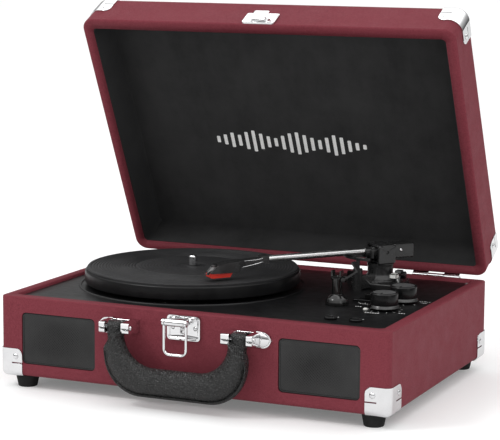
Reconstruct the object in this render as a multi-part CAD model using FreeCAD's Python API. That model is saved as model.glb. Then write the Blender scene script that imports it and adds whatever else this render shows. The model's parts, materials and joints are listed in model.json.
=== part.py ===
"""Suitcase record player: a wooden case with a leatherette skin, built as separate pieces.

Units are millimetres. +X is to the right, +Y to the back, +Z up, and z = 0 is the floor under the feet.
Everything is first placed about the middle of the case, then moved so that the origin lies at the
middle of the whole footprint. The lid is drawn closed and then swung open about its hinge.
"""
import FreeCAD, Part
import math
import os

from FreeCAD import Vector

# Case
CASE_W, CASE_D = 358.5, 256.0
FOOT_H = 11.0
BASE_H = 70.0
LID_H = 40.5
BASE_WALL, LID_WALL = 10.0, 9.5
CASE_CORNER_R, LID_CORNER_R = 5.0, 11.0
EDGE_R, RIM_R = 4.5, 1.4
RIM_GAP = 0.3
LID_PANEL_T, LINER_T = 3.0, 0.8
LID_OPEN_DEG = 63.7
BASE_Z0, BASE_Z1 = FOOT_H, FOOT_H + BASE_H
LID_Z0, LID_Z1 = BASE_Z1 + RIM_GAP, BASE_Z1 + LID_H
FRONT_Y, REAR_Y = -CASE_D / 2, CASE_D / 2
HALF_W = CASE_W / 2

# Hinges
HINGE_Y, HINGE_Z = REAR_Y + 3.2, BASE_Z1 - 1.0
HINGE_X, HINGE_LEN = 130.0, 45.0
KNUCKLE_R, HINGE_PIN_R, LEAF_T = 2.8, 1.3, 1.2

# Deck
DECK_T, DECK_TOP = 3.0, 78.5
DECK_FIT = 0.3
LEDGE_W, LEDGE_T = 6.0, 4.0
PANEL_T = 4.0

# The speakers, the latch and the handle stand a little left of the case's middle
FITTINGS_X = -2.4

# Speakers
SPEAKER_X, SPEAKER_Z = 120.3, 44.9
WINDOW_W, WINDOW_H, WINDOW_R = 71.4, 45.2, 4.0
GRILLE_T = 1.6

# Platter and drive
SPINDLE_X, SPINDLE_Y = -58.0, 4.0
PLATTER_R, MAT_TOP, MAT_T = 97.0, 95.7, 2.4
SPINDLE_R, SPINDLE_TOP, SHAFT_R, HUB_Z = 3.6, 105.5, 3.0, 87.5
RING_R, PULLEY_R, PULLEY_DIST = 58.0, 4.0, 74.0
SHAFT_FIT = 0.05

# Tonearm: heights of its levels, its pivot, and where it points at rest
ARM_X, ARM_Y = 97.0, 71.0
ARM_REST_DEG = -38.67
TUBE_Z, TUBE_R = 111.5, 3.0
ARM_PIVOT_Z = 110.5
TUBE_END, SHELL_END, STYLUS_AT = 121.0, 172.0, 166.8
STYLUS_Z = 97.5
LIFT_R, LIFT_TOP = 32.0, 108.1
YAW_MIN, YAW_MAX = -12.0, 36.5

# Arm rest
POST_X, POST_Y = 94.0, -28.0
CLIP_DX, CLIP_Z = 6.4, 100.5

# Controls on the deck
VOLUME_KNOB = (137.8, -30.0)
SOURCE_KNOB = (141.8, 7.0)
KNOB_R, KNOB_FLARE_R, KNOB_TOP = 11.4, 13.2, 93.4
SPEED_SLOT = (114.0, -2.0)
STOP_SLOT = (62.0, 98.0)

# Handle, from the middle between its two pins
HANDLE_X, HANDLE_Y, HANDLE_Z = 57.0, FRONT_Y - 15.5, 66.5
ARM_W, ARM_END_W, GRIP_H, GRIP_DEPTH = 17.0, 14.6, 25.0, 15.0
HANDLE_BOTTOM = 10.0
GRIP_OUTER_R, GRIP_INNER_R, GRIP_ROUND = 34.0, 28.0, 4.5
SHOULDER_DROP, HANDLE_PIN_R = 8.5, 2.0

# Handle holders: the width of the ear nearest the latch and of the other one, and the wing beside that
EAR_INNER_W, EAR_OUTER_W, EAR_GAP, EAR_HALF_H = 7.2, 5.2, 0.4, 4.5
WING_REACH, WING_HALF_H, WING_T, WING_DROP = 9.2, 6.5, 2.4, 1.9

# Latch
PLATE_W, PLATE_H, LATCH_Z = 30.2, 20.8, 68.2
LEVER_Y, LEVER_Z, LEVER_PIN_R, LEVER_ARM_X, LEVER_EAR_X = FRONT_Y - 3.8, 75.0, 1.2, 6.0, 7.6
ROLLER_Y, ROLLER_Z, ROLLER_R, AXLE_R = FRONT_Y - 18.0, 75.5, 3.0, 1.5
LOOP_W, LOOP_WIRE_R, LOOP_BOTTOM = 22.6, 1.2, 47.0
CATCH_Z = LID_Z0 + 8.9

# Corner protectors
CORNER_T, CORNER_RISE, CORNER_TOP_R = 0.9, 24.9, 6.0
FRONT_LEG, SIDE_LEG, CORNER_FLAT_W = 22.0, 26.0, 13.0
RIVET_INSET, RIVET_RISE, SLIT_RISE, SLIT_L = 6.3, 18.2, 11.8, 12.0
CORNERS = [(sx, sy) for sx in (-1, 1) for sy in (-1, 1)]

# Rivets and screws: head radius, head height
CORNER_RIVET, LATCH_RIVET = (2.6, 1.3), (1.9, 0.9)
LATCH_RIVET_X = 10.3
SCREW_SHANK = 0.45
PILOT_FIT = 0.08
HINGE_SCREW, HINGE_SCREW_L = (2.4, 0.9), 5.0
HINGE_SCREW_DX, HINGE_SCREW_DZ = (-15.0, 0.0, 15.0), 12.0
BOTTOM_SCREW, DECK_SCREW = (2.8, 0.9), (2.6, 1.0)
PANEL_SCREW_BITE = 3.0
BOTTOM_SCREWS = [(x, y) for x in (-166.0, 0.0, 166.0) for y in (-90.0, 90.0)]
BOTTOM_SCREWS += [(x, y) for x in (-90.0, 90.0) for y in (-114.5, 114.5)]
DECK_SCREWS = [(sx * 165.4, sy * 114.0) for sx, sy in CORNERS]

# Feet
FOOT_PLACES = [(sx * 161.0, sy * 114.0) for sx, sy in CORNERS]
FOOT_R, FOOT_SOLE_R, FOOT_HOLE_R, FOOT_SCREW_R = 10.2, 7.8, 5.0, 2.2

# Drive
PULLEY_ANGLE = math.radians(35.0)
PULLEY_X = SPINDLE_X + PULLEY_DIST * math.cos(PULLEY_ANGLE)
PULLEY_Y = SPINDLE_Y + PULLEY_DIST * math.sin(PULLEY_ANGLE)
MOUNT_ANGLES = [math.radians(a) for a in (30, 150, 270)]
BELT_Z, BELT_W, BELT_GAP, BELT_T = 83.6, 3.4, 0.3, 0.6

# Cueing lift and its lever, in the stand's own frame
LIFT_ANGLE = math.radians(ARM_REST_DEG + 20.0)
LIFT_POST = (LIFT_R * math.sin(LIFT_ANGLE), -LIFT_R * math.cos(LIFT_ANGLE))
CUE_Z = 90.0

# Sockets and the power light
AUDIO_JACKS = [(112.0, -88.0), (134.0, -88.0)]
POWER_LIGHT = (124.0, -38.0)
JACK_PANEL_X, JACK_PANEL_Z = (-140.0, -66.0), (30.0, 54.0)
JACK_Z, DC_X, RCA_X = 42.0, -78.0, (-126.0, -106.0)

X_AXIS, Y_AXIS, Z_AXIS = Vector(1, 0, 0), Vector(0, 1, 0), Vector(0, 0, 1)


def box(x0, x1, y0, y1, z0, z1):
    return Part.makeBox(x1 - x0, y1 - y0, z1 - z0, Vector(x0, y0, z0))


def cyl(r, x, y, z0, z1):
    return Part.makeCylinder(r, z1 - z0, Vector(x, y, z0))


def rod_x(r, x0, x1, y, z):
    return Part.makeCylinder(r, x1 - x0, Vector(x0, y, z), X_AXIS)


def rod_y(r, y0, y1, x, z):
    return Part.makeCylinder(r, y1 - y0, Vector(x, y0, z), Y_AXIS)


def prism(points, direction):
    """A closed outline of straight edges, extruded along direction."""
    wire = Part.makePolygon([Vector(*p) for p in points] + [Vector(*points[0])])
    return Part.Face(wire).extrude(Vector(*direction))


def turned(profile, x, y):
    """A solid of revolution about the upright line at x, y; profile is a list of (radius, height)."""
    wire = Part.makePolygon([Vector(x + r, y, z) for r, z in profile + profile[:1]])
    return Part.Face(wire).revolve(Vector(x, y, 0), Z_AXIS, 360)


def fuse(shapes):
    return shapes[0].multiFuse(shapes[1:]).removeSplitter() if len(shapes) > 1 else shapes[0]


def cut(shape, tools):
    return shape.cut(Part.makeCompound(tools))


def edges_where(shape, test):
    """The edges whose two ends, and so whose run, pass the test on their middle point and direction."""
    picked = []
    for edge in shape.Edges:
        if edge.Length < 0.2 or len(edge.Vertexes) < 2:
            continue
        a, b = edge.Vertexes[0].Point, edge.Vertexes[-1].Point
        if test((a + b) * 0.5, b - a):
            picked.append(edge)
    return picked


def upright(_, run):
    return abs(run.x) < 1e-6 and abs(run.y) < 1e-6


def rounded_block(x0, x1, y0, y1, z0, z1, r, r_bottom=0, r_top=0):
    """A block with rounded upright corners and, where asked, rounded bottom and top edges."""
    block = box(x0, x1, y0, y1, z0, z1)
    block = block.makeFillet(r, edges_where(block, upright))
    for radius, level in ((r_bottom, z0), (r_top, z1)):
        if radius:
            rim = [e for e in block.Edges if all(abs(v.Z - level) < 1e-6 for v in e.Vertexes)]
            block = block.makeFillet(radius, rim)
    return block


def centred_block(w, d, z0, z1, r, r_bottom=0, r_top=0):
    return rounded_block(-w / 2, w / 2, -d / 2, d / 2, z0, z1, r, r_bottom, r_top)


def plate_front(x, z, w, h, y0, y1, r):
    """An upright plate that faces front, with rounded corners."""
    plate = box(x - w / 2, x + w / 2, y0, y1, z - h / 2, z + h / 2)
    return plate.makeFillet(r, edges_where(plate, lambda _, run: abs(run.x) < 1e-6 and abs(run.z) < 1e-6))


def dome(at, out, r, h):
    """A rivet or screw head: a low dome of radius r and height h that stands on a face."""
    sphere_r = (r * r + h * h) / (2 * h)
    out = Vector(*out)
    at = Vector(*at)
    ball = Part.makeSphere(sphere_r, at - out * (sphere_r - h))
    return ball.common(Part.makeCylinder(r + 1, h, at, out))


def screw(at, out, r, h, length):
    """A screw with a domed head with a cross slot, and a plain shank behind it."""
    out_v, at_v = Vector(*out), Vector(*at)
    shank = Part.makeCylinder(r * SCREW_SHANK, length, at_v, out_v * -1)
    body = fuse([dome(at, out, r, h), shank])
    slot = box(-r * 0.6, r * 0.6, -r * 0.12, r * 0.12, 0, h)
    slots = []
    for turn in (45, 135):
        cross = slot.copy()
        cross.rotate(Vector(), Z_AXIS, turn)
        cross.translate(Vector(0, 0, h * 0.45))
        cross.Placement = FreeCAD.Placement(at_v, FreeCAD.Rotation(Z_AXIS, out_v)).multiply(cross.Placement)
        slots.append(cross)
    return cut(body, slots)


def pilot(screw_size):
    """The radius of the hole that a screw's shank sits in."""
    return screw_size[0] * SCREW_SHANK + PILOT_FIT


def hinge_screw_places(on_lid):
    z = HINGE_Z + (HINGE_SCREW_DZ if on_lid else -HINGE_SCREW_DZ)
    return [(side * HINGE_X + dx, z) for side in (-1, 1) for dx in HINGE_SCREW_DX]


def hinge_screw_holes(on_lid):
    """The holes that the hinge screws pass through, in a leaf and in the wall behind it."""
    y0, y1 = REAR_Y + LEAF_T - HINGE_SCREW_L - 0.2, REAR_Y + LEAF_T + 1
    return [rod_y(pilot(HINGE_SCREW), y0, y1, x, z) for x, z in hinge_screw_places(on_lid)]


def open_lid(shape):
    shape = shape.copy()
    shape.rotate(Vector(0, HINGE_Y, HINGE_Z), X_AXIS, -LID_OPEN_DEG)
    return shape


def at_arm(shape, turn=ARM_REST_DEG):
    """From the arm's own frame, with its tube along -Y from the pivot, to its place on the deck."""
    shape = shape.copy()
    shape.rotate(Vector(), Z_AXIS, turn)
    shape.translate(Vector(ARM_X, ARM_Y, 0))
    return shape


# ---- case ---------------------------------------------------------------------------------------

def base_shell():
    """Four wooden walls with ledges for the deck and the bottom panel, and the speaker windows."""
    outer = centred_block(CASE_W, CASE_D, BASE_Z0, BASE_Z1, CASE_CORNER_R, EDGE_R, RIM_R)
    in_w, in_d = CASE_W - 2 * BASE_WALL, CASE_D - 2 * BASE_WALL
    deck_under = DECK_TOP - DECK_T
    cavity = centred_block(in_w, in_d, BASE_Z0 - 1, BASE_Z1 + 1, 4.0)
    ledges = []
    for level in (deck_under - LEDGE_T, BASE_Z0 + PANEL_T + 1.0):
        ring = centred_block(in_w + 2, in_d + 2, level, level + LEDGE_T, 4.0)
        hole = centred_block(in_w - 2 * LEDGE_W, in_d - 2 * LEDGE_W, level - 1, level + LEDGE_T + 1, 3.0)
        ledges.append(ring.cut(hole))
    shell = fuse([outer.cut(cavity)] + ledges)
    holes = []
    for side in (-1, 1):
        holes.append(plate_front(FITTINGS_X + side * SPEAKER_X, SPEAKER_Z, WINDOW_W, WINDOW_H,
                                 FRONT_Y - 1, FRONT_Y + BASE_WALL + 1, WINDOW_R))
    holes.append(box(*JACK_PANEL_X, REAR_Y - BASE_WALL - 1, REAR_Y + 1, *JACK_PANEL_Z))
    holes += [cyl(pilot(BOTTOM_SCREW), x, y, BASE_Z0 + PANEL_T, BASE_Z0 + PANEL_T + LEDGE_T + 0.5)
              for x, y in BOTTOM_SCREWS]
    holes += [cyl(pilot(DECK_SCREW), x, y, deck_under - PANEL_SCREW_BITE - 0.5, deck_under + 1)
              for x, y in DECK_SCREWS]
    return cut(shell, holes + hinge_screw_holes(False))


def bottom_panel():
    """The floor of the case, with rows of cooling slots and holes for its screws."""
    w, d = CASE_W - 2 * BASE_WALL - DECK_FIT, CASE_D - 2 * BASE_WALL - DECK_FIT
    panel = centred_block(w, d, BASE_Z0 + 1.0, BASE_Z0 + 1.0 + PANEL_T, 3.8)
    slots = []
    for row in range(7):
        x = 30.0 + row * 8.0
        slots.append(box(x, x + 3.0, -30.0, 10.0, BASE_Z0, BASE_Z0 + 6.0))
    holes = [cyl(1.4, x, y, BASE_Z0, BASE_Z0 + 6.0) for x, y in BOTTOM_SCREWS]
    return cut(panel, slots + holes)


def panel_screws():
    """The screws that hold the deck down and the bottom panel up."""
    low = [screw((x, y, BASE_Z0 + 1.0), (0, 0, -1), *BOTTOM_SCREW, PANEL_T + PANEL_SCREW_BITE)
           for x, y in BOTTOM_SCREWS]
    top = [screw((x, y, DECK_TOP), (0, 0, 1), *DECK_SCREW, DECK_T + PANEL_SCREW_BITE) for x, y in DECK_SCREWS]
    return low + top


def feet():
    """Four tapered rubber feet under the corner plates, each hollowed underneath where its screw sits."""
    top = FOOT_H - CORNER_T
    profile = [(FOOT_SCREW_R, 3.0), (FOOT_HOLE_R, 3.0), (FOOT_HOLE_R, 0), (FOOT_SOLE_R, 0),
               (FOOT_SOLE_R + 0.6, 0.6), (FOOT_R, top - 0.6), (FOOT_R, top), (FOOT_SCREW_R, top)]
    return [turned(profile, x, y) for x, y in FOOT_PLACES]


def deck_plate():
    """The moulded deck that the platter, the tonearm and the controls stand on."""
    w, d = CASE_W - 2 * BASE_WALL - DECK_FIT, CASE_D - 2 * BASE_WALL - DECK_FIT
    plate = centred_block(w, d, DECK_TOP - DECK_T, DECK_TOP, 3.8)
    ring = turned([(100.0, DECK_TOP - 1), (102.5, DECK_TOP - 1), (102.5, DECK_TOP + 0.5),
                   (102.0, DECK_TOP + 1.0), (100.5, DECK_TOP + 1.0), (100.0, DECK_TOP + 0.5)],
                  SPINDLE_X, SPINDLE_Y)
    plate = fuse([plate, ring])
    low, high = DECK_TOP - DECK_T - 1, DECK_TOP + 2
    holes = [cyl(8.0, SPINDLE_X, SPINDLE_Y, low, high),
             cyl(5.5, PULLEY_X, PULLEY_Y, low, high),
             cyl(5.0, ARM_X, ARM_Y, low, high),
             box(SPEED_SLOT[0] - 10, SPEED_SLOT[0] + 10, SPEED_SLOT[1] - 2.5, SPEED_SLOT[1] + 2.5, low, high),
             box(STOP_SLOT[0] - 8, STOP_SLOT[0] + 8, STOP_SLOT[1] - 2.5, STOP_SLOT[1] + 2.5, low, high),
             cyl(2.4, *POWER_LIGHT, low, high)]
    holes += [cyl(4.2, *place, low, high) for place in (VOLUME_KNOB, SOURCE_KNOB)]
    holes += [cyl(4.1, *place, low, high) for place in AUDIO_JACKS]
    holes += [cyl(1.3, x, y, low, high) for x, y in DECK_SCREWS]
    return cut(plate, holes)


def lid_shell():
    """The lid: four walls and a thin top, hollow below."""
    outer = centred_block(CASE_W, CASE_D, LID_Z0, LID_Z1, LID_CORNER_R, RIM_R, EDGE_R)
    in_w, in_d = CASE_W - 2 * LID_WALL, CASE_D - 2 * LID_WALL
    cavity = centred_block(in_w, in_d, LID_Z0 - 1, LID_Z1 - LID_PANEL_T, 4.0)
    return cut(outer, [cavity] + hinge_screw_holes(True))


def lid_liner():
    """The black cloth that lines the lid's inside: one thin tray."""
    w, d = CASE_W - 2 * LID_WALL, CASE_D - 2 * LID_WALL
    top = LID_Z1 - LID_PANEL_T
    outer = centred_block(w, d, LID_Z0 + 1.5, top, 4.0)
    inner = centred_block(w - 2 * LINER_T, d - 2 * LINER_T, LID_Z0, top - LINER_T, 3.2)
    return outer.cut(inner)


def wall_lobe(leg):
    """One wall's part of a corner piece, in (distance from the corner, height): a lobe with a round
    upper corner about its rivet, and a slit below that. leg is how far it reaches along the wall."""
    depth = 12.0
    lobe = box(-CORNER_TOP_R - 2, leg, -1.0, depth, -CORNER_TOP_R - 2, CORNER_RISE)
    lobe = lobe.makeFillet(CORNER_TOP_R, edges_where(
        lobe, lambda mid, run: abs(run.y) > 1 and mid.x > 0 and mid.z > 0))
    slit = box(leg - SLIT_L, leg + 1.0, -2.0, depth + 1, SLIT_RISE, SLIT_RISE + 1.1)
    return lobe.cut(slit)


def corner_piece(sx, sy, on_lid):
    """A three-way metal corner: a thin skin over one corner of the case, with a lobe on each face."""
    t = CORNER_T
    z0, z1 = (LID_Z0, LID_Z1) if on_lid else (BASE_Z0, BASE_Z1)
    r, low_r, top_r = (LID_CORNER_R, RIM_R, EDGE_R) if on_lid else (CASE_CORNER_R, EDGE_R, RIM_R)
    skin = centred_block(CASE_W + 2 * t, CASE_D + 2 * t, z0 - t, z1 + t, r + t, low_r + t, top_r + t)
    skin = skin.cut(centred_block(CASE_W, CASE_D, z0, z1, r, low_r, top_r))
    front = wall_lobe(FRONT_LEG)
    side = wall_lobe(SIDE_LEG)
    side.rotate(Vector(), Z_AXIS, 90)
    side = side.mirror(Vector(), X_AXIS)
    flat = prism([(-2, -2, -2), (FRONT_LEG, -2, -2), (FRONT_LEG, CORNER_FLAT_W, -2),
                  (CORNER_FLAT_W, SIDE_LEG, -2), (-2, SIDE_LEG, -2)], (0, 0, 6.5))
    stencil = fuse([front, side, flat])
    if on_lid:
        stencil = stencil.mirror(Vector(), Z_AXIS)
    if sx > 0:
        stencil = stencil.mirror(Vector(), X_AXIS)
    if sy > 0:
        stencil = stencil.mirror(Vector(), Y_AXIS)
    stencil.translate(Vector(sx * (HALF_W + t), sy * (CASE_D / 2 + t), z1 + t if on_lid else z0 - t))
    return skin.common(stencil)


def corner_rivets(sx, sy, on_lid):
    """One rivet on each wall lobe of a corner piece."""
    x, y = sx * (HALF_W + CORNER_T), sy * (CASE_D / 2 + CORNER_T)
    z = LID_Z1 + CORNER_T - RIVET_RISE if on_lid else BASE_Z0 - CORNER_T + RIVET_RISE
    return [dome((x - sx * (FRONT_LEG - RIVET_INSET), y, z), (0, sy, 0), *CORNER_RIVET),
            dome((x, y - sy * (SIDE_LEG - RIVET_INSET), z), (sx, 0, 0), *CORNER_RIVET)]


def hinge_leaves(on_lid):
    """One leaf of each hinge, with its knuckles: the base has the middle one, the lid the outer two."""
    third = HINGE_LEN / 3
    leaves = []
    for side in (-1, 1):
        x0 = side * HINGE_X - HINGE_LEN / 2
        if on_lid:
            z0, z1 = HINGE_Z + 4.0, HINGE_Z + 19.0
            spans = [(x0, x0 + third - 0.2), (x0 + 2 * third + 0.2, x0 + HINGE_LEN)]
        else:
            z0, z1 = HINGE_Z - 19.0, HINGE_Z - 4.0
            spans = [(x0 + third + 0.2, x0 + 2 * third - 0.2)]
        y1 = REAR_Y + LEAF_T
        plate = box(x0, x0 + HINGE_LEN, REAR_Y, y1, z0, z1)
        parts = [plate]
        for a, b in spans:
            parts.append(rod_x(KNUCKLE_R, a, b, HINGE_Y, HINGE_Z))
            parts.append(box(a, b, REAR_Y + 0.3, y1, min(z0, HINGE_Z), max(z1, HINGE_Z)))
        leaf = fuse(parts)
        bore = rod_x(HINGE_PIN_R + SHAFT_FIT, x0 - 1, x0 + HINGE_LEN + 1, HINGE_Y, HINGE_Z)
        leaves.append(cut(leaf, [bore] + hinge_screw_holes(on_lid)))
    return leaves


def hinge_screws(on_lid):
    return [screw((x, REAR_Y + LEAF_T, z), (0, 1, 0), *HINGE_SCREW, HINGE_SCREW_L)
            for x, z in hinge_screw_places(on_lid)]


# ---- latch and handle ---------------------------------------------------------------------------

def latch_plate():
    """The plate on the case: a dished face with a raised rim, two ears for the lever, and a centre clip."""
    y0 = FRONT_Y
    back = plate_front(0, LATCH_Z, PLATE_W, PLATE_H, y0 - 1.0, y0, 3.0)
    rim = plate_front(0, LATCH_Z, PLATE_W, PLATE_H, y0 - 2.2, y0 - 0.9, 3.0)
    rim = rim.cut(plate_front(0, LATCH_Z, PLATE_W - 4.4, PLATE_H - 4.4, y0 - 3.0, y0, 2.0))
    clip = box(-2.6, 2.6, y0 - 3.0, y0 - 0.9, LATCH_Z - 4.6, LATCH_Z + 2.8)
    stud = dome((0, y0 - 3.0, LATCH_Z - 1.0), (0, -1, 0), 1.3, 0.5)
    ears = []
    for side in (-1, 1):
        x = side * LEVER_EAR_X
        ears.append(box(x - 0.6, x + 0.6, LEVER_Y - 2.4, y0 - 0.5, LEVER_Z - 2.4, LEVER_Z + 2.4))
    body = fuse([back, rim, clip, stud] + ears)
    return body.cut(rod_x(LEVER_PIN_R + 2 * SHAFT_FIT, -12, 12, LEVER_Y, LEVER_Z))


def latch_lever():
    """The lever, swung out: two arms on a pivot pin under one curved cover, with a roller at the end."""
    ear_end = LEVER_EAR_X + 0.6
    pin = rod_x(LEVER_PIN_R, -ear_end - 0.3, ear_end + 0.3, LEVER_Y, LEVER_Z)
    roller = rod_x(ROLLER_R, -8.6, 8.6, ROLLER_Y, ROLLER_Z)
    axle = rod_x(AXLE_R, -LOOP_W / 2 - 0.3, LOOP_W / 2 + 0.3, ROLLER_Y, ROLLER_Z)
    parts = [pin, roller, axle]
    dy, dz = ROLLER_Y - LEVER_Y, ROLLER_Z - LEVER_Z
    length = math.hypot(dy, dz)
    ny, nz = dz / length, -dy / length
    half = 2.0
    outline = [(LEVER_Y + ny * half * s, LEVER_Z + nz * half * s) for s in (1, -1)]
    outline += [(ROLLER_Y + ny * half * s, ROLLER_Z + nz * half * s) for s in (-1, 1)]
    for side in (-1, 1):
        x = side * LEVER_ARM_X
        parts.append(prism([(x - 0.6, y, z) for y, z in outline], (1.2, 0, 0)))
        parts.append(rod_x(half, x - 0.6, x + 0.6, LEVER_Y, LEVER_Z))
    cover = [(y + ny * 2.2, z + nz * 2.2) for y, z in ((LEVER_Y + dy * 0.16, LEVER_Z + dz * 0.16),
                                                      (ROLLER_Y, ROLLER_Z))]
    cover += [(y - ny * 1.0, z - nz * 1.0) for y, z in reversed(cover)]
    parts.append(prism([(-LEVER_ARM_X - 0.6, y, z) for y, z in cover], (2 * LEVER_ARM_X + 1.2, 0, 0)))
    return fuse(parts)


def latch_loop():
    """A wire loop that hangs from the ends of the lever's axle: two eyes and a rounded bow."""
    half, bend, y = LOOP_W / 2 - LOOP_WIRE_R, 5.0, ROLLER_Y
    top, bottom = ROLLER_Z - 2.0, LOOP_BOTTOM + LOOP_WIRE_R
    k = bend * (1 - math.sqrt(0.5))

    def at(x, z):
        return Vector(x, y, z)

    path = [Part.makeLine(at(-half, top), at(-half, bottom + bend)),
            Part.Arc(at(-half, bottom + bend), at(k - half, bottom + k), at(bend - half, bottom)).toShape(),
            Part.makeLine(at(bend - half, bottom), at(half - bend, bottom)),
            Part.Arc(at(half - bend, bottom), at(half - k, bottom + k), at(half, bottom + bend)).toShape(),
            Part.makeLine(at(half, bottom + bend), at(half, top))]
    section = Part.Wire(Part.makeCircle(LOOP_WIRE_R, at(-half, top), Z_AXIS))
    wire = Part.Wire(path).makePipeShell([section], True, True)
    eyes = [rod_x(2.9, side * half - 1.0, side * half + 1.0, y, ROLLER_Z) for side in (-1, 1)]
    return fuse([wire] + eyes).cut(rod_x(AXLE_R + SHAFT_FIT, -14, 14, y, ROLLER_Z))


def catch_plate():
    """The plate on the lid that the loop hooks over: a raised hook with a slot, between two rivets."""
    z = CATCH_Z
    plate = plate_front(0, z, 31.0, 16.6, FRONT_Y - 1.0, FRONT_Y, 2.0)
    hook = plate_front(0, z, 14.5, 12.0, FRONT_Y - 5.6, FRONT_Y - 0.9, 1.5)
    slot = box(-9, 9, FRONT_Y - 4.6, FRONT_Y - 1.3, z - 3.2, z + 8.0)
    rim = plate_front(0, z, 31.0, 16.6, FRONT_Y - 1.6, FRONT_Y - 0.9, 2.0)
    rim = rim.cut(plate_front(0, z, 28.6, 14.2, FRONT_Y - 2.0, FRONT_Y, 1.2))
    return fuse([plate, hook.cut(slot), rim])


def plate_rivets(z):
    return [dome((side * LATCH_RIVET_X, FRONT_Y - 1.0, z), (0, -1, 0), *LATCH_RIVET) for side in (-1, 1)]


def u_face(half, bottom, radius, top, y):
    """The closed outline of a U's filled shape in an upright plane that faces front."""
    k = radius * (1 - math.sqrt(0.5))
    left_a, left_mid, left_b = (Vector(-half, y, bottom + radius), Vector(k - half, y, bottom + k),
                                Vector(radius - half, y, bottom))
    right_a, right_mid, right_b = (Vector(half - radius, y, bottom), Vector(half - k, y, bottom + k),
                                   Vector(half, y, bottom + radius))
    top_l, top_r = Vector(-half, y, top), Vector(half, y, top)
    edges = [Part.makeLine(top_l, left_a),
             Part.Arc(left_a, left_mid, left_b).toShape(),
             Part.makeLine(left_b, right_a),
             Part.Arc(right_a, right_mid, right_b).toShape(),
             Part.makeLine(right_b, top_r),
             Part.makeLine(top_r, top_l)]
    return Part.Face(Part.Wire(edges))


def handle():
    """The padded carrying handle: a rounded U that hangs from the two pins, its bar thicker than its arms."""
    y0, deep = HANDLE_Y - GRIP_DEPTH / 2 - 2.0, Vector(0, GRIP_DEPTH, 0)
    top, shoulder = HANDLE_Z + 6.0, HANDLE_Z - SHOULDER_DROP
    outer = u_face(HANDLE_X + ARM_W / 2, HANDLE_BOTTOM, GRIP_OUTER_R, top, y0)
    inner = u_face(HANDLE_X - ARM_W / 2, HANDLE_BOTTOM + GRIP_H, GRIP_INNER_R, top + 1, y0)
    body = outer.cut(inner).extrude(deep)
    body = body.makeFillet(GRIP_ROUND, edges_where(
        body, lambda mid, run: abs(run.y) < 1e-6 and mid.z < top - 1e-3))
    thin = []
    for side in (-1, 1):
        x = side * HANDLE_X
        thin.append(box(x - ARM_W, x + ARM_W, y0 - 1, HANDLE_Y - 5.0, shoulder, top + 1))
        thin.append(box(x - ARM_W, x + ARM_W, HANDLE_Y + 5.0, HANDLE_Y + 9.0, shoulder, top + 1))
        thin.append(box(x - ARM_W, x - ARM_END_W / 2, y0 - 1, HANDLE_Y + 9.0, shoulder, top + 1))
        thin.append(box(x + ARM_END_W / 2, x + ARM_W, y0 - 1, HANDLE_Y + 9.0, shoulder, top + 1))
    return cut(body, thin + [rod_x(HANDLE_PIN_R + SHAFT_FIT, -100, 100, HANDLE_Y, HANDLE_Z)])


def bracket_ear(x0, x1):
    """One ear of a handle holder: a folded box that widens towards the wall, split across its front."""
    y_front, y_back, h = HANDLE_Y - EAR_HALF_H, FRONT_Y - 0.7, EAR_HALF_H
    side_view = [(y_front, -h + 0.9), (y_front, h - 0.9), (y_front + 0.9, h), (y_back, h),
                 (y_back, -h - 2.1), (y_front + 0.9, -h)]
    ear = prism([(x0, y, HANDLE_Z + z) for y, z in side_view], (x1 - x0, 0, 0))
    return ear.cut(box(x0 - 1, x1 + 1, y_front - 1, y_front + 0.6, HANDLE_Z - 0.3, HANDLE_Z + 0.3))


def bracket_wing(x, side):
    """The pressed button on a holder's outer side: two arcs that meet in a blunt point, round a swelling."""
    z = HANDLE_Z - WING_DROP

    def half_oval(shrink, y0, y1):
        reach, h = WING_REACH - shrink, WING_HALF_H - shrink
        low, high, tip = Vector(x, y0, z - h), Vector(x, y0, z + h), Vector(x + side * reach, y0, z)
        mids = [Vector(x + side * 0.66 * reach, y0, z + s * 0.80 * h) for s in (1, -1)]
        edges = [Part.Arc(high, mids[0], tip).toShape(),
                 Part.Arc(tip, mids[1], low).toShape(),
                 Part.makeLine(low, high)]
        return Part.Face(Part.Wire(edges)).extrude(Vector(0, y1 - y0, 0))

    rim = half_oval(0, FRONT_Y - WING_T, FRONT_Y).cut(half_oval(1.4, FRONT_Y - WING_T - 1, FRONT_Y - 0.8))
    swelling = dome((x + side * 4.4, FRONT_Y - 0.7, z), (0, -1, 0), 3.4, 1.3)
    return fuse([rim, swelling])


def handle_brackets():
    """The two metal holders that the handle's ends sit in: a plate, two ears each, and a wing outside."""
    brackets = []
    for side in (-1, 1):
        x = side * HANDLE_X
        near = ARM_END_W / 2 + EAR_GAP
        outer, inner = x + side * (near + EAR_OUTER_W), x - side * (near + EAR_INNER_W)
        x0, x1 = min(outer, inner), max(outer, inner)
        plate = box(x0, x1, FRONT_Y - 1.4, FRONT_Y, HANDLE_Z - EAR_HALF_H - 2.1, HANDLE_Z + EAR_HALF_H)
        lip = box(x0 + 0.5, x1 - 0.5, FRONT_Y - 3.6, FRONT_Y - 1.0, HANDLE_Z + EAR_HALF_H - 1.4,
                  HANDLE_Z + EAR_HALF_H)
        lip = lip.makeFillet(0.5, edges_where(lip, lambda mid, run: mid.y < FRONT_Y - 3.5 and abs(run.x) > 1))
        parts = [plate, lip, bracket_wing(outer, side)]
        for a, b in ((x - side * near, inner), (x + side * near, outer)):
            parts.append(bracket_ear(min(a, b), max(a, b)))
        brackets.append(fuse(parts).cut(rod_x(HANDLE_PIN_R, x - 30, x + 30, HANDLE_Y, HANDLE_Z)))
    return brackets


def handle_pins():
    """A pin through each holder and the end of the handle in it, with a low head at either side."""
    pins = []
    for side in (-1, 1):
        x = side * HANDLE_X
        near = ARM_END_W / 2 + EAR_GAP
        ends = (x + side * (near + EAR_OUTER_W + 0.6), x - side * (near + EAR_INNER_W + 0.6))
        pins.append(rod_x(HANDLE_PIN_R, min(ends), max(ends), HANDLE_Y, HANDLE_Z))
    return pins


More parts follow.
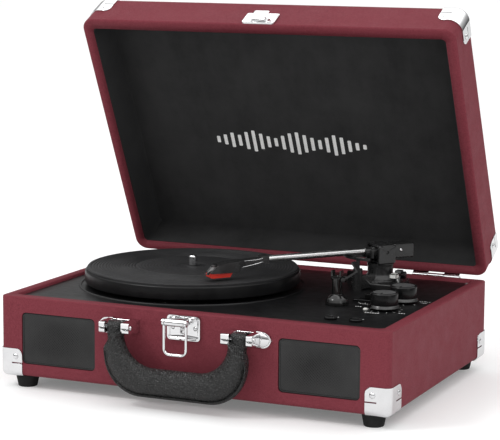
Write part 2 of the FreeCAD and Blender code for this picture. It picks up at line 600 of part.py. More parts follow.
def hinge_pins():
    pins = []
    for side in (-1, 1):
        x = side * HINGE_X
        pins.append(rod_x(HINGE_PIN_R, x - HINGE_LEN / 2 - 0.8, x + HINGE_LEN / 2 + 0.8, HINGE_Y, HINGE_Z))
    return pins


def beside_middle(shapes):
    """Moves fittings that were drawn about the case's middle to where they stand on its front."""
    for shape in shapes if isinstance(shapes, list) else [shapes]:
        shape.translate(Vector(FITTINGS_X, 0, 0))
    return shapes


# ---- speakers, board and sockets ----------------------------------------------------------------

def speaker_grilles():
    inset = 1.2
    return [plate_front(FITTINGS_X + side * SPEAKER_X, SPEAKER_Z, WINDOW_W - 0.2, WINDOW_H - 0.2,
                        FRONT_Y + inset, FRONT_Y + inset + GRILLE_T, WINDOW_R) for side in (-1, 1)]


def speaker_frames():
    """Oval drivers: a flange on the inside of the front wall and an open basket behind it."""
    frames = []
    y0 = FRONT_Y + BASE_WALL
    for side in (-1, 1):
        x = FITTINGS_X + side * SPEAKER_X
        flange = plate_front(x, SPEAKER_Z, 84.0, 46.0, y0 + 0.1, y0 + 2.1, 8.0)
        cone = Part.makeCone(21.5, 15.0, 14.0, Vector(x, y0 + 2.0, SPEAKER_Z), Y_AXIS)
        hollow = Part.makeCone(20.0, 13.6, 14.0, Vector(x, y0 + 2.0, SPEAKER_Z), Y_AXIS)
        mouth = rod_y(20.0, y0 - 1, y0 + 2.1, x, SPEAKER_Z)
        plate = rod_y(15.0, y0 + 16.0, y0 + 17.2, x, SPEAKER_Z)
        frames.append(cut(fuse([flange, cone, plate]), [mouth, hollow]))
    return frames


def speaker_cones():
    cones = []
    y0 = FRONT_Y + BASE_WALL + 2.4
    for side in (-1, 1):
        x = FITTINGS_X + side * SPEAKER_X
        outer = Part.makeCone(19.0, 7.0, 10.0, Vector(x, y0, SPEAKER_Z), Y_AXIS)
        inner = Part.makeCone(18.4, 6.4, 9.4, Vector(x, y0 - 0.01, SPEAKER_Z), Y_AXIS)
        cap = Part.makeSphere(7.5, Vector(x, y0 + 11.0, SPEAKER_Z))
        cap = cap.common(box(x - 9, x + 9, y0, y0 + 9.6, SPEAKER_Z - 9, SPEAKER_Z + 9))
        cones.append(fuse([outer.cut(inner), cap]))
    return cones


def speaker_magnets():
    y0 = FRONT_Y + BASE_WALL + 17.2
    return [rod_y(14.0, y0, y0 + 9.0, FITTINGS_X + side * SPEAKER_X, SPEAKER_Z) for side in (-1, 1)]


def main_board():
    """The circuit board on four posts, with its capacitors, chip and heat sink."""
    z = BASE_Z0 + PANEL_T + 1.0
    x0, x1, y0, y1 = -10.0, 80.0, 40.0, 105.0
    board = box(x0, x1, y0, y1, z + 6.0, z + 7.6)
    posts = [cyl(2.5, x, y, z, z + 6.0) for x in (x0 + 5, x1 - 5) for y in (y0 + 5, y1 - 5)]
    parts = [fuse([board] + posts)]
    for x, y, r, h in ((5, 60, 5.0, 16.0), (18, 60, 5.0, 16.0), (32, 55, 3.2, 9.0), (40, 55, 3.2, 9.0)):
        parts.append(cyl(r, x, y, z + 7.6, z + 7.6 + h))
    parts.append(box(10, 28, 78, 86, z + 7.6, z + 10.6))
    sink = [box(50, 72, 70, 90, z + 7.6, z + 10.0)]
    sink += [box(50 + 4.2 * i, 51.2 + 4.2 * i, 70, 90, z + 9.0, z + 22.0) for i in range(6)]
    parts.append(fuse(sink))
    return parts


def control_pots():
    """The volume control and the source switch under the deck, each with a bush for the knob's spindle."""
    pots = []
    for x, y in (VOLUME_KNOB, SOURCE_KNOB):
        body = cyl(8.5, x, y, 60.0, 72.0)
        bush = cyl(4.0, x, y, 71.0, DECK_TOP + 0.4)
        tags = [box(x - 5 + 4 * i, x - 4 + 4 * i, y - 12.5, y - 7, 64.0, 65.0) for i in range(3)]
        pots.append(fuse([body, bush] + tags).cut(cyl(SHAFT_R + SHAFT_FIT, x, y, 62.0, DECK_TOP + 1)))
    return pots


def motor():
    """The drive motor: a steel can that hangs under the deck, with a flange for its rubber mounts."""
    x, y = PULLEY_X, PULLEY_Y
    can = cyl(16.0, x, y, 48.0, 70.0)
    flange = fuse([cyl(9.0, x + 20 * math.cos(a), y + 20 * math.sin(a), 68.6, 70.0)
                   for a in MOUNT_ANGLES] + [cyl(20.0, x, y, 68.6, 70.0)])
    boss = cyl(4.0, x, y, 70.0, 73.0)
    body = fuse([can, flange, boss])
    holes = [cyl(2.0, x + 22 * math.cos(a), y + 22 * math.sin(a), 67.0, 71.0) for a in MOUNT_ANGLES]
    return cut(body, holes + [cyl(1.0 + SHAFT_FIT, x, y, 52.0, 74.0)])


def motor_mounts():
    """Three rubber bushes between the motor's flange and the deck."""
    places = [(PULLEY_X + 22 * math.cos(a), PULLEY_Y + 22 * math.sin(a)) for a in MOUNT_ANGLES]
    top = DECK_TOP - DECK_T
    profile = [(0, 67.0), (4.0, 67.0), (4.0, 68.5), (1.9, 68.5), (1.9, 70.1), (4.5, 70.1), (4.5, top),
               (0, top)]
    return [turned(profile, x, y) for x, y in places]


def platter_bearing():
    """The brass bush that the platter's shaft turns in, with a flange under the deck."""
    x, y = SPINDLE_X, SPINDLE_Y
    deck_under = DECK_TOP - DECK_T
    profile = [(0, 50.0), (6.0, 50.0), (6.0, 72.5), (14.0, 72.5), (14.0, deck_under), (7.8, deck_under),
               (7.8, 81.0), (0, 81.0)]
    return turned(profile, x, y).cut(cyl(SHAFT_R + SHAFT_FIT, x, y, 52.0, 82.0))


def belt_outline(extra):
    """The filled shape inside the belt, grown by extra: two arcs and the two straight runs between them."""
    big, small = RING_R + extra, PULLEY_R + extra
    lean = math.asin((big - small) / PULLEY_DIST)
    ax, ay = big * math.sin(lean), big * math.cos(lean)
    bx, by = PULLEY_DIST + small * math.sin(lean), small * math.cos(lean)
    edges = [Part.makeLine(Vector(ax, ay, BELT_Z), Vector(bx, by, BELT_Z)),
             Part.Arc(Vector(bx, by, BELT_Z), Vector(PULLEY_DIST + small, 0, BELT_Z),
                      Vector(bx, -by, BELT_Z)).toShape(),
             Part.makeLine(Vector(bx, -by, BELT_Z), Vector(ax, -ay, BELT_Z)),
             Part.Arc(Vector(ax, -ay, BELT_Z), Vector(-big, 0, BELT_Z), Vector(ax, ay, BELT_Z)).toShape()]
    return Part.Face(Part.Wire(edges)).extrude(Vector(0, 0, BELT_W))


def drive_belt():
    """The flat belt round the platter's inner ring and the motor pulley."""
    belt = belt_outline(BELT_GAP + BELT_T).cut(belt_outline(BELT_GAP))
    belt.rotate(Vector(), Z_AXIS, math.degrees(PULLEY_ANGLE))
    belt.translate(Vector(SPINDLE_X, SPINDLE_Y, 0))
    return belt


def jack_panel():
    """The moulded plate in the rear wall that carries the power and line-out sockets."""
    x0, x1 = JACK_PANEL_X
    z0, z1 = JACK_PANEL_Z
    frame = plate_front((x0 + x1) / 2, (z0 + z1) / 2, x1 - x0 + 6, z1 - z0 + 6, REAR_Y, REAR_Y + 1.4, 2.0)
    plug = box(x0 + 0.2, x1 - 0.2, REAR_Y - 4.0, REAR_Y + 0.1, z0 + 0.2, z1 - 0.2)
    holes = [rod_y(5.0, REAR_Y - 5, REAR_Y + 2, x, JACK_Z) for x in RCA_X]
    holes.append(rod_y(5.6, REAR_Y - 5, REAR_Y + 2, DC_X, JACK_Z))
    return cut(fuse([frame, plug]), holes)


def dc_jack():
    """The low-voltage power inlet: a round socket with a centre pin."""
    body = fuse([rod_y(5.5, REAR_Y - 16, REAR_Y + 1.6, DC_X, JACK_Z),
                 box(DC_X - 6, DC_X + 6, REAR_Y - 18, REAR_Y - 4.2, JACK_Z - 6, JACK_Z + 6)])
    bore = rod_y(2.75, REAR_Y - 9, REAR_Y + 3, DC_X, JACK_Z)
    pin = rod_y(1.0, REAR_Y - 10, REAR_Y + 0.4, DC_X, JACK_Z)
    return fuse([body.cut(bore), pin])


def rca_jacks():
    """Two line-out sockets: a tube that the plug's shell slides over, with a bore for its pin."""
    jacks = []
    for x in RCA_X:
        body = fuse([rod_y(4.9, REAR_Y - 14, REAR_Y + 1.8, x, JACK_Z),
                     rod_y(4.15, REAR_Y + 1.7, REAR_Y + 9.0, x, JACK_Z),
                     box(x - 5.5, x + 5.5, REAR_Y - 16, REAR_Y - 4.2, JACK_Z - 5.5, JACK_Z + 5.5)])
        jacks.append(body.cut(rod_y(1.65, REAR_Y - 8, REAR_Y + 10, x, JACK_Z)))
    return jacks


def audio_jacks():
    """The headphone and line-in sockets in the deck, with their ring nuts."""
    jacks = []
    for x, y in AUDIO_JACKS:
        body = turned([(0, 62.0), (5.5, 62.0), (5.5, 74.8), (3.9, 74.8), (3.9, DECK_TOP), (5.4, DECK_TOP),
                       (5.4, DECK_TOP + 1.6), (4.6, DECK_TOP + 2.2), (0, DECK_TOP + 2.2)], x, y)
        jacks.append(body.cut(cyl(1.8, x, y, 64.0, DECK_TOP + 3)))
    return jacks


def power_light():
    x, y = POWER_LIGHT
    profile = [(0, 74.0), (3.0, 74.0), (3.0, 75.4), (2.3, 75.4), (2.3, DECK_TOP + 0.6), (1.5, DECK_TOP + 1.4),
               (0, DECK_TOP + 1.6)]
    return turned(profile, x, y)


# ---- platter ------------------------------------------------------------------------------------

def platter():
    """The platter: a disc with a deep skirt, and an inner ring that the belt runs on."""
    x, y = SPINDLE_X, SPINDLE_Y
    top = MAT_TOP - MAT_T
    under = HUB_Z + 2.5
    profile = [(SPINDLE_R, HUB_Z), (7.0, HUB_Z), (7.0, under), (RING_R - 2.5, under), (RING_R - 2.5, 81.8),
               (RING_R, 81.8), (RING_R, under), (PLATTER_R - 3.0, under), (PLATTER_R - 2.2, 82.2),
               (PLATTER_R - 0.6, 82.2), (PLATTER_R, 83.2), (PLATTER_R, top - 1.2), (PLATTER_R - 1.2, top),
               (SPINDLE_R, top)]
    return turned(profile, x, y)


def platter_mat():
    x, y = SPINDLE_X, SPINDLE_Y
    top, r = MAT_TOP, PLATTER_R - 2.0
    profile = [(3.75, top - MAT_T), (r, top - MAT_T), (r, top - 0.6), (r - 0.6, top), (r - 3.0, top),
               (r - 3.6, top - 0.5), (50.0, top - 0.5), (49.4, top), (3.75, top)]
    return turned(profile, x, y)


def spindle():
    """The shaft that the platter rests on by a collar; its round-nosed top is what a record fits over."""
    x, y = SPINDLE_X, SPINDLE_Y
    neck = SPINDLE_R - 0.7
    profile = [(0, 53.0), (SHAFT_R, 53.0), (SHAFT_R, 81.4), (6.0, 81.4), (6.0, HUB_Z), (neck, HUB_Z),
               (neck, MAT_TOP + 0.3), (SPINDLE_R, MAT_TOP + 0.3), (SPINDLE_R, SPINDLE_TOP - 2.0),
               (2.9, SPINDLE_TOP - 0.7), (1.6, SPINDLE_TOP), (0, SPINDLE_TOP)]
    return turned(profile, x, y)


def motor_pulley():
    x, y = PULLEY_X, PULLEY_Y
    profile = [(0, 54.0), (1.0, 54.0), (1.0, 78.0), (3.0, 79.0), (3.0, 81.5), (PULLEY_R + 0.9, 81.5),
               (PULLEY_R + 0.9, 82.3), (PULLEY_R, 82.8), (PULLEY_R, 87.6), (PULLEY_R - 0.6, 88.6), (0, 88.6)]
    return turned(profile, x, y)


# ---- tonearm ------------------------------------------------------------------------------------

def tonearm_base():
    """The stand on the deck: a tapered foot, a column with the yaw bearing, and the lift's guide."""
    foot = rounded_block(-23, 21, -19, 24, DECK_TOP, DECK_TOP + 5.0, 6.0, 0, 1.5)
    column = turned([(0, DECK_TOP + 4), (15.0, DECK_TOP + 4), (15.0, DECK_TOP + 7), (11.5, DECK_TOP + 12),
                     (11.5, 97.5), (12.0, 98.5), (12.0, 100.0), (0, 100.0)], 0, 0)
    gusset = prism([(-2.5, 10, DECK_TOP + 4), (-2.5, 20, DECK_TOP + 4), (-2.5, 11, 97)], (5.0, 0, 0))
    lift_x, lift_y = LIFT_POST
    web_z = DECK_TOP + 1
    web = prism([(lift_x - 2, lift_y, web_z), (lift_x + 2, lift_y, web_z), (2, -8, web_z), (-2, -8, web_z)],
                (0, 0, 12.0))
    guide = fuse([cyl(4.2, lift_x, lift_y, DECK_TOP, 98.0), web])
    ear = box(15.2, 20.6, -4.0, 4.0, DECK_TOP + 4, CUE_Z + 4.0)
    ear = ear.cut(rod_x(1.5 + SHAFT_FIT, 14, 22, 0, CUE_Z))
    body = fuse([foot, column, gusset, guide, ear])
    bores = [cyl(4.0 + SHAFT_FIT, 0, 0, DECK_TOP - 1, 101.0),
             cyl(1.8 + SHAFT_FIT, lift_x, lift_y, DECK_TOP - 1, 99.0)]
    holes = [cyl(1.5, x, y, DECK_TOP - 1, DECK_TOP + 6) for x, y in ((-18, 18), (16, 19), (16, -14))]
    return at_arm(cut(body, bores + holes), 0)


def arm_turret():
    """The yoke that turns on the column: a floor, two cheeks with the pivot bores, and a top bridge."""
    shaft = cyl(4.0, 0, 0, DECK_TOP + 0.5, 100.6)
    floor = rounded_block(-12, 12, -9, 9, 100.4, 102.2, 3.0)
    parts = [shaft, floor]
    for side in (-1, 1):
        x0, x1 = sorted((side * 9.3, side * 12.0))
        cheek = box(x0, x1, -8.5, 8.5, 101.0, 117.0)
        cheek = cheek.makeFillet(2.5, edges_where(cheek, lambda mid, run: mid.z > 116 and abs(run.y) < 1e-6))
        parts.append(cheek)
    parts.append(box(-9.6, 9.6, -7.0, 8.0, 115.2, 117.0))
    body = fuse(parts)
    body = body.cut(rod_x(1.5 + SHAFT_FIT, -13, 13, 0, ARM_PIVOT_Z))
    return at_arm(body)


def arm_block():
    """The arm's pivot block with its two trunnion pins, the tube's socket and the stub for the weight."""
    block = rounded_block(-8, 8, -14, 9, 105.6, 113.6, 2.0, 0, 0.8)
    pins = rod_x(1.5, -11.8, 11.8, 0, ARM_PIVOT_Z)
    nose = rod_y(4.6, -17.5, -13, 0, TUBE_Z - 0.9)
    stub = rod_y(2.4, 8.0, 14.0, 0, 109.5)
    body = fuse([block, pins, nose, stub])
    return at_arm(body.cut(rod_y(TUBE_R, -18, -5, 0, TUBE_Z)))


def arm_tube():
    tube = rod_y(TUBE_R, -TUBE_END, -5.0, 0, TUBE_Z)
    return at_arm(tube.cut(rod_y(TUBE_R - 0.6, -TUBE_END - 1, -6.0, 0, TUBE_Z)))


def headshell():
    """The moulded shell at the arm's end: a collar that grips the tube, a slim neck, then a hollow wedge."""
    side = [(115.5, 108.0), (115.5, 115.0), (122.2, 115.0), (123.4, 113.2), (144.0, 112.4), (156.0, 111.8),
            (166.0, 109.6), (SHELL_END, 104.0), (SHELL_END, 102.9), (146.0, 102.9), (143.0, 107.2),
            (123.4, 108.9), (122.2, 108.0)]
    wide = prism([(-6.5, -s, z) for s, z in side], (13.0, 0, 0))
    trims = []
    for sign in (-1, 1):
        plan = [(sign * 20, -100), (sign * 4.0, -100), (sign * 4.0, -138), (sign * 6.4, -146),
                (sign * 6.4, -164), (sign * 4.2, -SHELL_END - 1), (sign * 20, -SHELL_END - 1)]
        trims.append(prism([(x, y, 95.0) for x, y in plan], (0, 0, 25.0)))
    shell = cut(wide, trims)
    pocket = box(-5.0, 5.0, -SHELL_END + 4.0, -149.0, 100.0, 108.4)
    slot = box(-3.8, 3.8, -149.2, -146.3, 105.2, 106.4)
    bore = rod_y(TUBE_R, -TUBE_END, -115.0, 0, TUBE_Z)
    return at_arm(cut(shell, [pocket, slot, bore]))


def cartridge():
    """The black pickup in the shell's pocket, with its four contact pins behind."""
    body = box(-4.9, 4.9, -SHELL_END + 4.1, -149.1, 102.9, 108.3)
    pins = [box(x - 0.4, x + 0.4, -149.2, -146.5, 105.4, 106.2) for x in (-3.0, -1.0, 1.0, 3.0)]
    return at_arm(fuse([body] + pins))


def stylus():
    """The red needle carrier under the cartridge, with its thin cantilever and tip."""
    side = [(151.0, 102.8), (153.6, 98.8), (171.4, 98.8), (172.8, 100.0), (172.8, 102.8)]
    body = prism([(-4.2, -s, z) for s, z in side], (8.4, 0, 0))
    tip = Part.makeCone(0.9, 0.25, 1.6, Vector(0, -STYLUS_AT, 99.1), Vector(0, 0, -1))
    return at_arm(fuse([body, tip]))


def finger_lift():
    """A bent metal strip at the shell's nose for lifting the arm by hand."""
    t = 0.8
    line = [(166.0, 110.1), (171.0, 107.4), (176.0, 102.4), (180.0, 104.4)]
    back = [(s, z + t) for s, z in reversed(line)]
    return at_arm(prism([(3.0, -s, z) for s, z in line + back], (4.4, 0, 0)))


def counterweight():
    block = rounded_block(-8.6, 8.6, 9.5, 31.0, 104.0, 117.0, 2.2, 1.2, 1.2)
    block = block.cut(rod_y(2.4, 9.0, 14.0, 0, 109.5))
    return at_arm(block)


def lift_platform():
    """The cueing lift: a curved bar under the tube, on a round post that slides in the stand."""
    top, t = LIFT_TOP, 2.2
    near, far = LIFT_R - 1.8, LIFT_R + 1.8
    arc = turned([(near, top - t), (far, top - t), (far, top), (near, top)], 0, 0)
    low, high = math.radians(ARM_REST_DEG + YAW_MIN - 5), math.radians(ARM_REST_DEG + YAW_MAX + 5)
    reach = 80.0
    wedge = prism([(0, 0, top - t - 1), (reach * math.sin(low), -reach * math.cos(low), top - t - 1),
                   (reach * math.sin(high), -reach * math.cos(high), top - t - 1)], (0, 0, t + 2))
    post = cyl(1.8, *LIFT_POST, 82.0, top - t + 0.5)
    return at_arm(fuse([arc.common(wedge), post]), 0)


def cue_lever():
    """The cueing lever on the stand's right side: a short spindle, a bent arm and a pale finger tab."""
    pin = rod_x(1.5, 15.4, 24.0, 0, CUE_Z)
    hub = rod_x(3.4, 21.0, 24.0, 0, CUE_Z)
    side = [(2.0, CUE_Z - 1.2), (2.0, CUE_Z + 1.2), (-18.0, CUE_Z + 4.4), (-24.0, CUE_Z + 4.4),
            (-24.0, CUE_Z + 2.0), (-18.0, CUE_Z + 2.0)]
    bar = prism([(21.4, y, z) for y, z in side], (2.2, 0, 0))
    tab = rounded_block(19.4, 25.6, -29.0, -22.5, CUE_Z + 1.0, CUE_Z + 5.4, 1.4)
    return at_arm(fuse([pin, hub, bar, tab]), 0)


def arm_rest():
    """The post that the arm is parked on: a flared foot, a column and two low prongs."""
    x, y = POST_X, POST_Y
    post = turned([(0, DECK_TOP), (10.0, DECK_TOP), (10.0, DECK_TOP + 2.2), (8.6, DECK_TOP + 5.5),
                   (6.0, DECK_TOP + 8.2), (4.4, DECK_TOP + 9.4), (4.4, 101.5), (0, 101.5)], x, y)
    seat = rounded_block(x - 4.8, x + 4.8, y - 3.6, y + 3.6, 100.6, 103.4, 1.2)
    prongs = [box(x + a, x + a + 1.4, y - 3.2, y + 3.2, 103.0, 108.0) for a in (-4.6, 3.2)]
    lug = box(x + 3.5, x + CLIP_DX + 1.9, y - 1.4, y + 1.4, CLIP_Z - 2.0, CLIP_Z + 1.9)
    body = fuse([post, seat] + prongs + [lug])
    slot = rod_y(2.4, y - 6, y - 1.5, x + CLIP_DX, CLIP_Z)
    slot_back = rod_y(2.4, y + 1.5, y + 6, x + CLIP_DX, CLIP_Z)
    return cut(body, [rod_y(1.0 + SHAFT_FIT, y - 5, y + 5, x + CLIP_DX, CLIP_Z), slot, slot_back])


def rest_clip():
    """The hook that locks the parked arm: it is shown open, leaning out to the right."""
    x, z, y = POST_X + CLIP_DX, CLIP_Z, POST_Y
    parts = [rod_y(1.0, y - 3.4, y + 3.4, x, z)]
    for a, b in ((-3.4, -1.7), (1.7, 3.4)):
        parts.append(rod_y(1.9, y + a, y + b, x, z))
        parts.append(box(x - 0.8, x + 0.8, y + a, y + b, z, z + 14.4))
    parts.append(box(x - 0.8, x + 0.8, y - 3.4, y + 3.4, z + 4.6, z + 16.0))
    parts.append(box(x - 9.0, x + 0.8, y - 3.4, y + 3.4, z + 14.6, z + 16.0))
    clip = fuse(parts)
    clip.rotate(Vector(x, y, z), Y_AXIS, 56.0)
    return clip


# ---- controls -----------------------------------------------------------------------------------

def knob(x, y):
    """A plain round knob with a flared skirt, a pointer groove in its top and its own spindle."""
    z = DECK_TOP + 0.8
    profile = [(0, 63.5), (SHAFT_R, 63.5), (SHAFT_R, z + 0.5), (7.0, z + 0.5), (7.0, z), (KNOB_FLARE_R, z),
               (KNOB_FLARE_R, z + 1.0), (KNOB_R + 0.3, z + 3.6), (KNOB_R, z + 5.0),
               (KNOB_R - 0.2, KNOB_TOP - 0.9), (KNOB_R - 1.1, KNOB_TOP), (0, KNOB_TOP)]
    body = turned(profile, x, y)
    return body.cut(box(x - 0.7, x + 0.7, y - KNOB_R - 1, y - 3.0, KNOB_TOP - 0.8, KNOB_TOP + 1))


def switch_bezels():
    """The raised frames of the speed switch and of the auto-stop switch."""
    bezels = []
    for (x, y), half in ((SPEED_SLOT, 9.0), (STOP_SLOT, 7.0)):
        plate = rounded_block(x - half - 5, x + half + 5, y - 6.5, y + 6.5, DECK_TOP, DECK_TOP + 2.0,
                              3.0, 0, 0.7)
        bezels.append(plate.cut(box(x - half, x + half, y - 1.7, y + 1.7, DECK_TOP - 1, DECK_TOP + 3)))
    return bezels


def slider(place):
    """A switch slider: a stem through the slot and a ribbed cap on top."""
    x, y = place
    stem = box(x - 2.0, x + 2.0, y - 1.3, y + 1.3, 73.0, DECK_TOP + 3.2)
    cap = rounded_block(x - 3.4, x + 3.4, y - 2.8, y + 2.8, DECK_TOP + 2.4, DECK_TOP + 6.4, 1.0, 0, 0.5)
    gaps = [box(x + dx - 0.35, x + dx + 0.35, y - 4, y + 4, DECK_TOP + 5.9, DECK_TOP + 8)
            for dx in (-1.8, 0, 1.8)]
    return cut(fuse([stem, cap]), gaps)


def rivets(on_lid):
    """The rivets of four corner pieces and of the latch's plate on the same half of the case."""
    latch_z = CATCH_Z if on_lid else LATCH_Z
    corners = [r for sx, sy in CORNERS for r in corner_rivets(sx, sy, on_lid)]
    return corners + beside_middle(plate_rivets(latch_z))


def all_nodes():
    """Every node's name and its solids, still about the middle of the case."""
    case = {
        "base_shell": base_shell(),
        "bottom_panel": bottom_panel(),
        "panel_screws": panel_screws(),
        "feet": feet(),
        "deck_plate": deck_plate(),
        "speaker_grilles": speaker_grilles(),
        "speaker_frames": speaker_frames(),
        "speaker_cones": speaker_cones(),
        "speaker_magnets": speaker_magnets(),
        "main_board": main_board(),
        "control_pots": control_pots(),
        "motor": motor(),
        "motor_mounts": motor_mounts(),
        "platter_bearing": platter_bearing(),
        "drive_belt": drive_belt(),
        "jack_panel": jack_panel(),
        "dc_jack": dc_jack(),
        "rca_jacks": rca_jacks(),
        "audio_jacks": audio_jacks(),
        "power_light": power_light(),
        "base_corners": [corner_piece(sx, sy, False) for sx, sy in CORNERS],
        "base_rivets": rivets(False),
        "latch_plate": beside_middle(latch_plate()),
        "hinge_base_leaves": hinge_leaves(False),
        "hinge_base_screws": hinge_screws(False),
        "pivot_pins": hinge_pins() + beside_middle(handle_pins()),
        "handle_brackets": beside_middle(handle_brackets()),
        "arm_rest": arm_rest(),
        "tonearm_base": tonearm_base(),
        "switch_bezels": switch_bezels(),
    }
    lid = {
        "lid_shell": lid_shell(),
        "lid_liner": lid_liner(),
        "lid_corners": [corner_piece(sx, sy, True) for sx, sy in CORNERS],
        "lid_rivets": rivets(True),
        "catch_plate": beside_middle(catch_plate()),
        "hinge_lid_leaves": hinge_leaves(True),
        "hinge_lid_screws": hinge_screws(True),
    }
    moving = {
        "handle": beside_middle(handle()),
        "latch_lever": beside_middle(latch_lever()),
        "latch_loop": beside_middle(latch_loop()),
        "platter": platter(),
        "platter_mat": platter_mat(),
        "spindle": spindle(),
        "motor_pulley": motor_pulley(),
        "arm_turret": arm_turret(),
        "arm_block": arm_block(),
        "arm_tube": arm_tube(),
        "headshell": headshell(),
        "cartridge": cartridge(),
        "stylus": stylus(),
        "finger_lift": finger_lift(),
        "counterweight": counterweight(),
        "lift_platform": lift_platform(),
        "cue_lever": cue_lever(),
        "rest_clip": rest_clip(),
        "volume_knob": knob(*VOLUME_KNOB),
        "source_knob": knob(*SOURCE_KNOB),
        "speed_slider": slider(SPEED_SLOT),
        "stop_slider": slider((STOP_SLOT[0] - 3.0, STOP_SLOT[1])),
    }
    for name, shape in lid.items():
        lid[name] = [open_lid(s) for s in shape] if isinstance(shape, list) else open_lid(shape)
    return {**case, **lid, **moving}


def main():
    os.makedirs("parts", exist_ok=True)
    nodes = {name: Part.makeCompound(shape) if isinstance(shape, list) else shape
             for name, shape in all_nodes().items()}
    whole = Part.makeCompound(list(nodes.values())).optimalBoundingBox(False)
    shift = Vector(0, -(whole.YMin + whole.YMax) / 2, 0)
    print("shift_y %.4f  x %.2f %.2f  z %.2f %.2f  depth %.2f" % (
        shift.y, whole.XMin, whole.XMax, whole.ZMin, whole.ZMax, whole.YLength))
    for name, shape in nodes.items():
        shape.translate(shift)
        if not shape.isValid() or not shape.Solids:
            print("CHECK", name, shape.isValid(), len(shape.Solids))
        shape.exportStep("parts/%s.step" % name)


main()
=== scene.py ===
"""Suitcase record player: the looks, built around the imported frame. Metres; +X right, +Y back, +Z up."""
import json
import math

import bmesh
import bpy
from mathutils import Matrix, Vector


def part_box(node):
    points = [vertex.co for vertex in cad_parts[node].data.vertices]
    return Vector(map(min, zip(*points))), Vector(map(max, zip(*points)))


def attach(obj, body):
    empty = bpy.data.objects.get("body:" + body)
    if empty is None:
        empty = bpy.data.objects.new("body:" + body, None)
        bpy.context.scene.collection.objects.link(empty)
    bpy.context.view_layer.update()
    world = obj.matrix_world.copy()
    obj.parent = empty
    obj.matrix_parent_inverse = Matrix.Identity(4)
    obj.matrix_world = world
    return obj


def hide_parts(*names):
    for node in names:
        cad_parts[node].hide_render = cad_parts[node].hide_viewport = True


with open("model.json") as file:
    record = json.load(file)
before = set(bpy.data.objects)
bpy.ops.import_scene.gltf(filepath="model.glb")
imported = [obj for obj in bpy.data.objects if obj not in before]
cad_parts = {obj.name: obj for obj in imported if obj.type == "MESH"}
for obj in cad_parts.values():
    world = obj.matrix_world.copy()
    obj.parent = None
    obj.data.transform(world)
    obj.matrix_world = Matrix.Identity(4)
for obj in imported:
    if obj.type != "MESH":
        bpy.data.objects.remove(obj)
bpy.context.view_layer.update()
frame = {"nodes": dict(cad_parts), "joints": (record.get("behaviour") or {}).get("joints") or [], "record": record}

NODES = frame["nodes"]
MM = 0.001
JOINTS = {joint["name"]: joint for joint in frame["joints"]}
LID_JOINT = JOINTS["lid_hinge"]
LID_OPEN = math.radians(max(abs(end) for end in LID_JOINT["range_deg"]))
HINGE = Vector(LID_JOINT["pos_m"])
CLOSED_LID_TOP = HINGE.z + 41.5 * MM    # the closed lid's outer face, above the hinge's axis
LINING_DEPTH = 3.8 * MM                 # from that face down to the lining's face

# The camera, measured from the middle of the case's footprint: it stands front right, a little above.
CAMERA_PLACE = Vector((0.6811, -1.5386, 0.3965))
CAMERA_HEADING, CAMERA_DIP, CAMERA_ROLL = (math.radians(a) for a in (23.888, 8.621, 0.422))
CAMERA_LENS, CAMERA_SENSOR = 138.6, 36.0    # millimetres

GRILLE_WIDE, GRILLE_TALL = 71.4 * MM, 45.2 * MM
GRILLE_CORNER = 4.0 * MM
ARM_TURN = math.radians(-38.67)             # how far the arm is swung in at rest
FLAT_SKIN_DEG = 32.0                        # CAD faces that meet at less than this are shaded as one


# ---- materials ----------------------------------------------------------------------------------

def set_inputs(node, values):
    for name, value in values.items():
        node.inputs[name].default_value = value


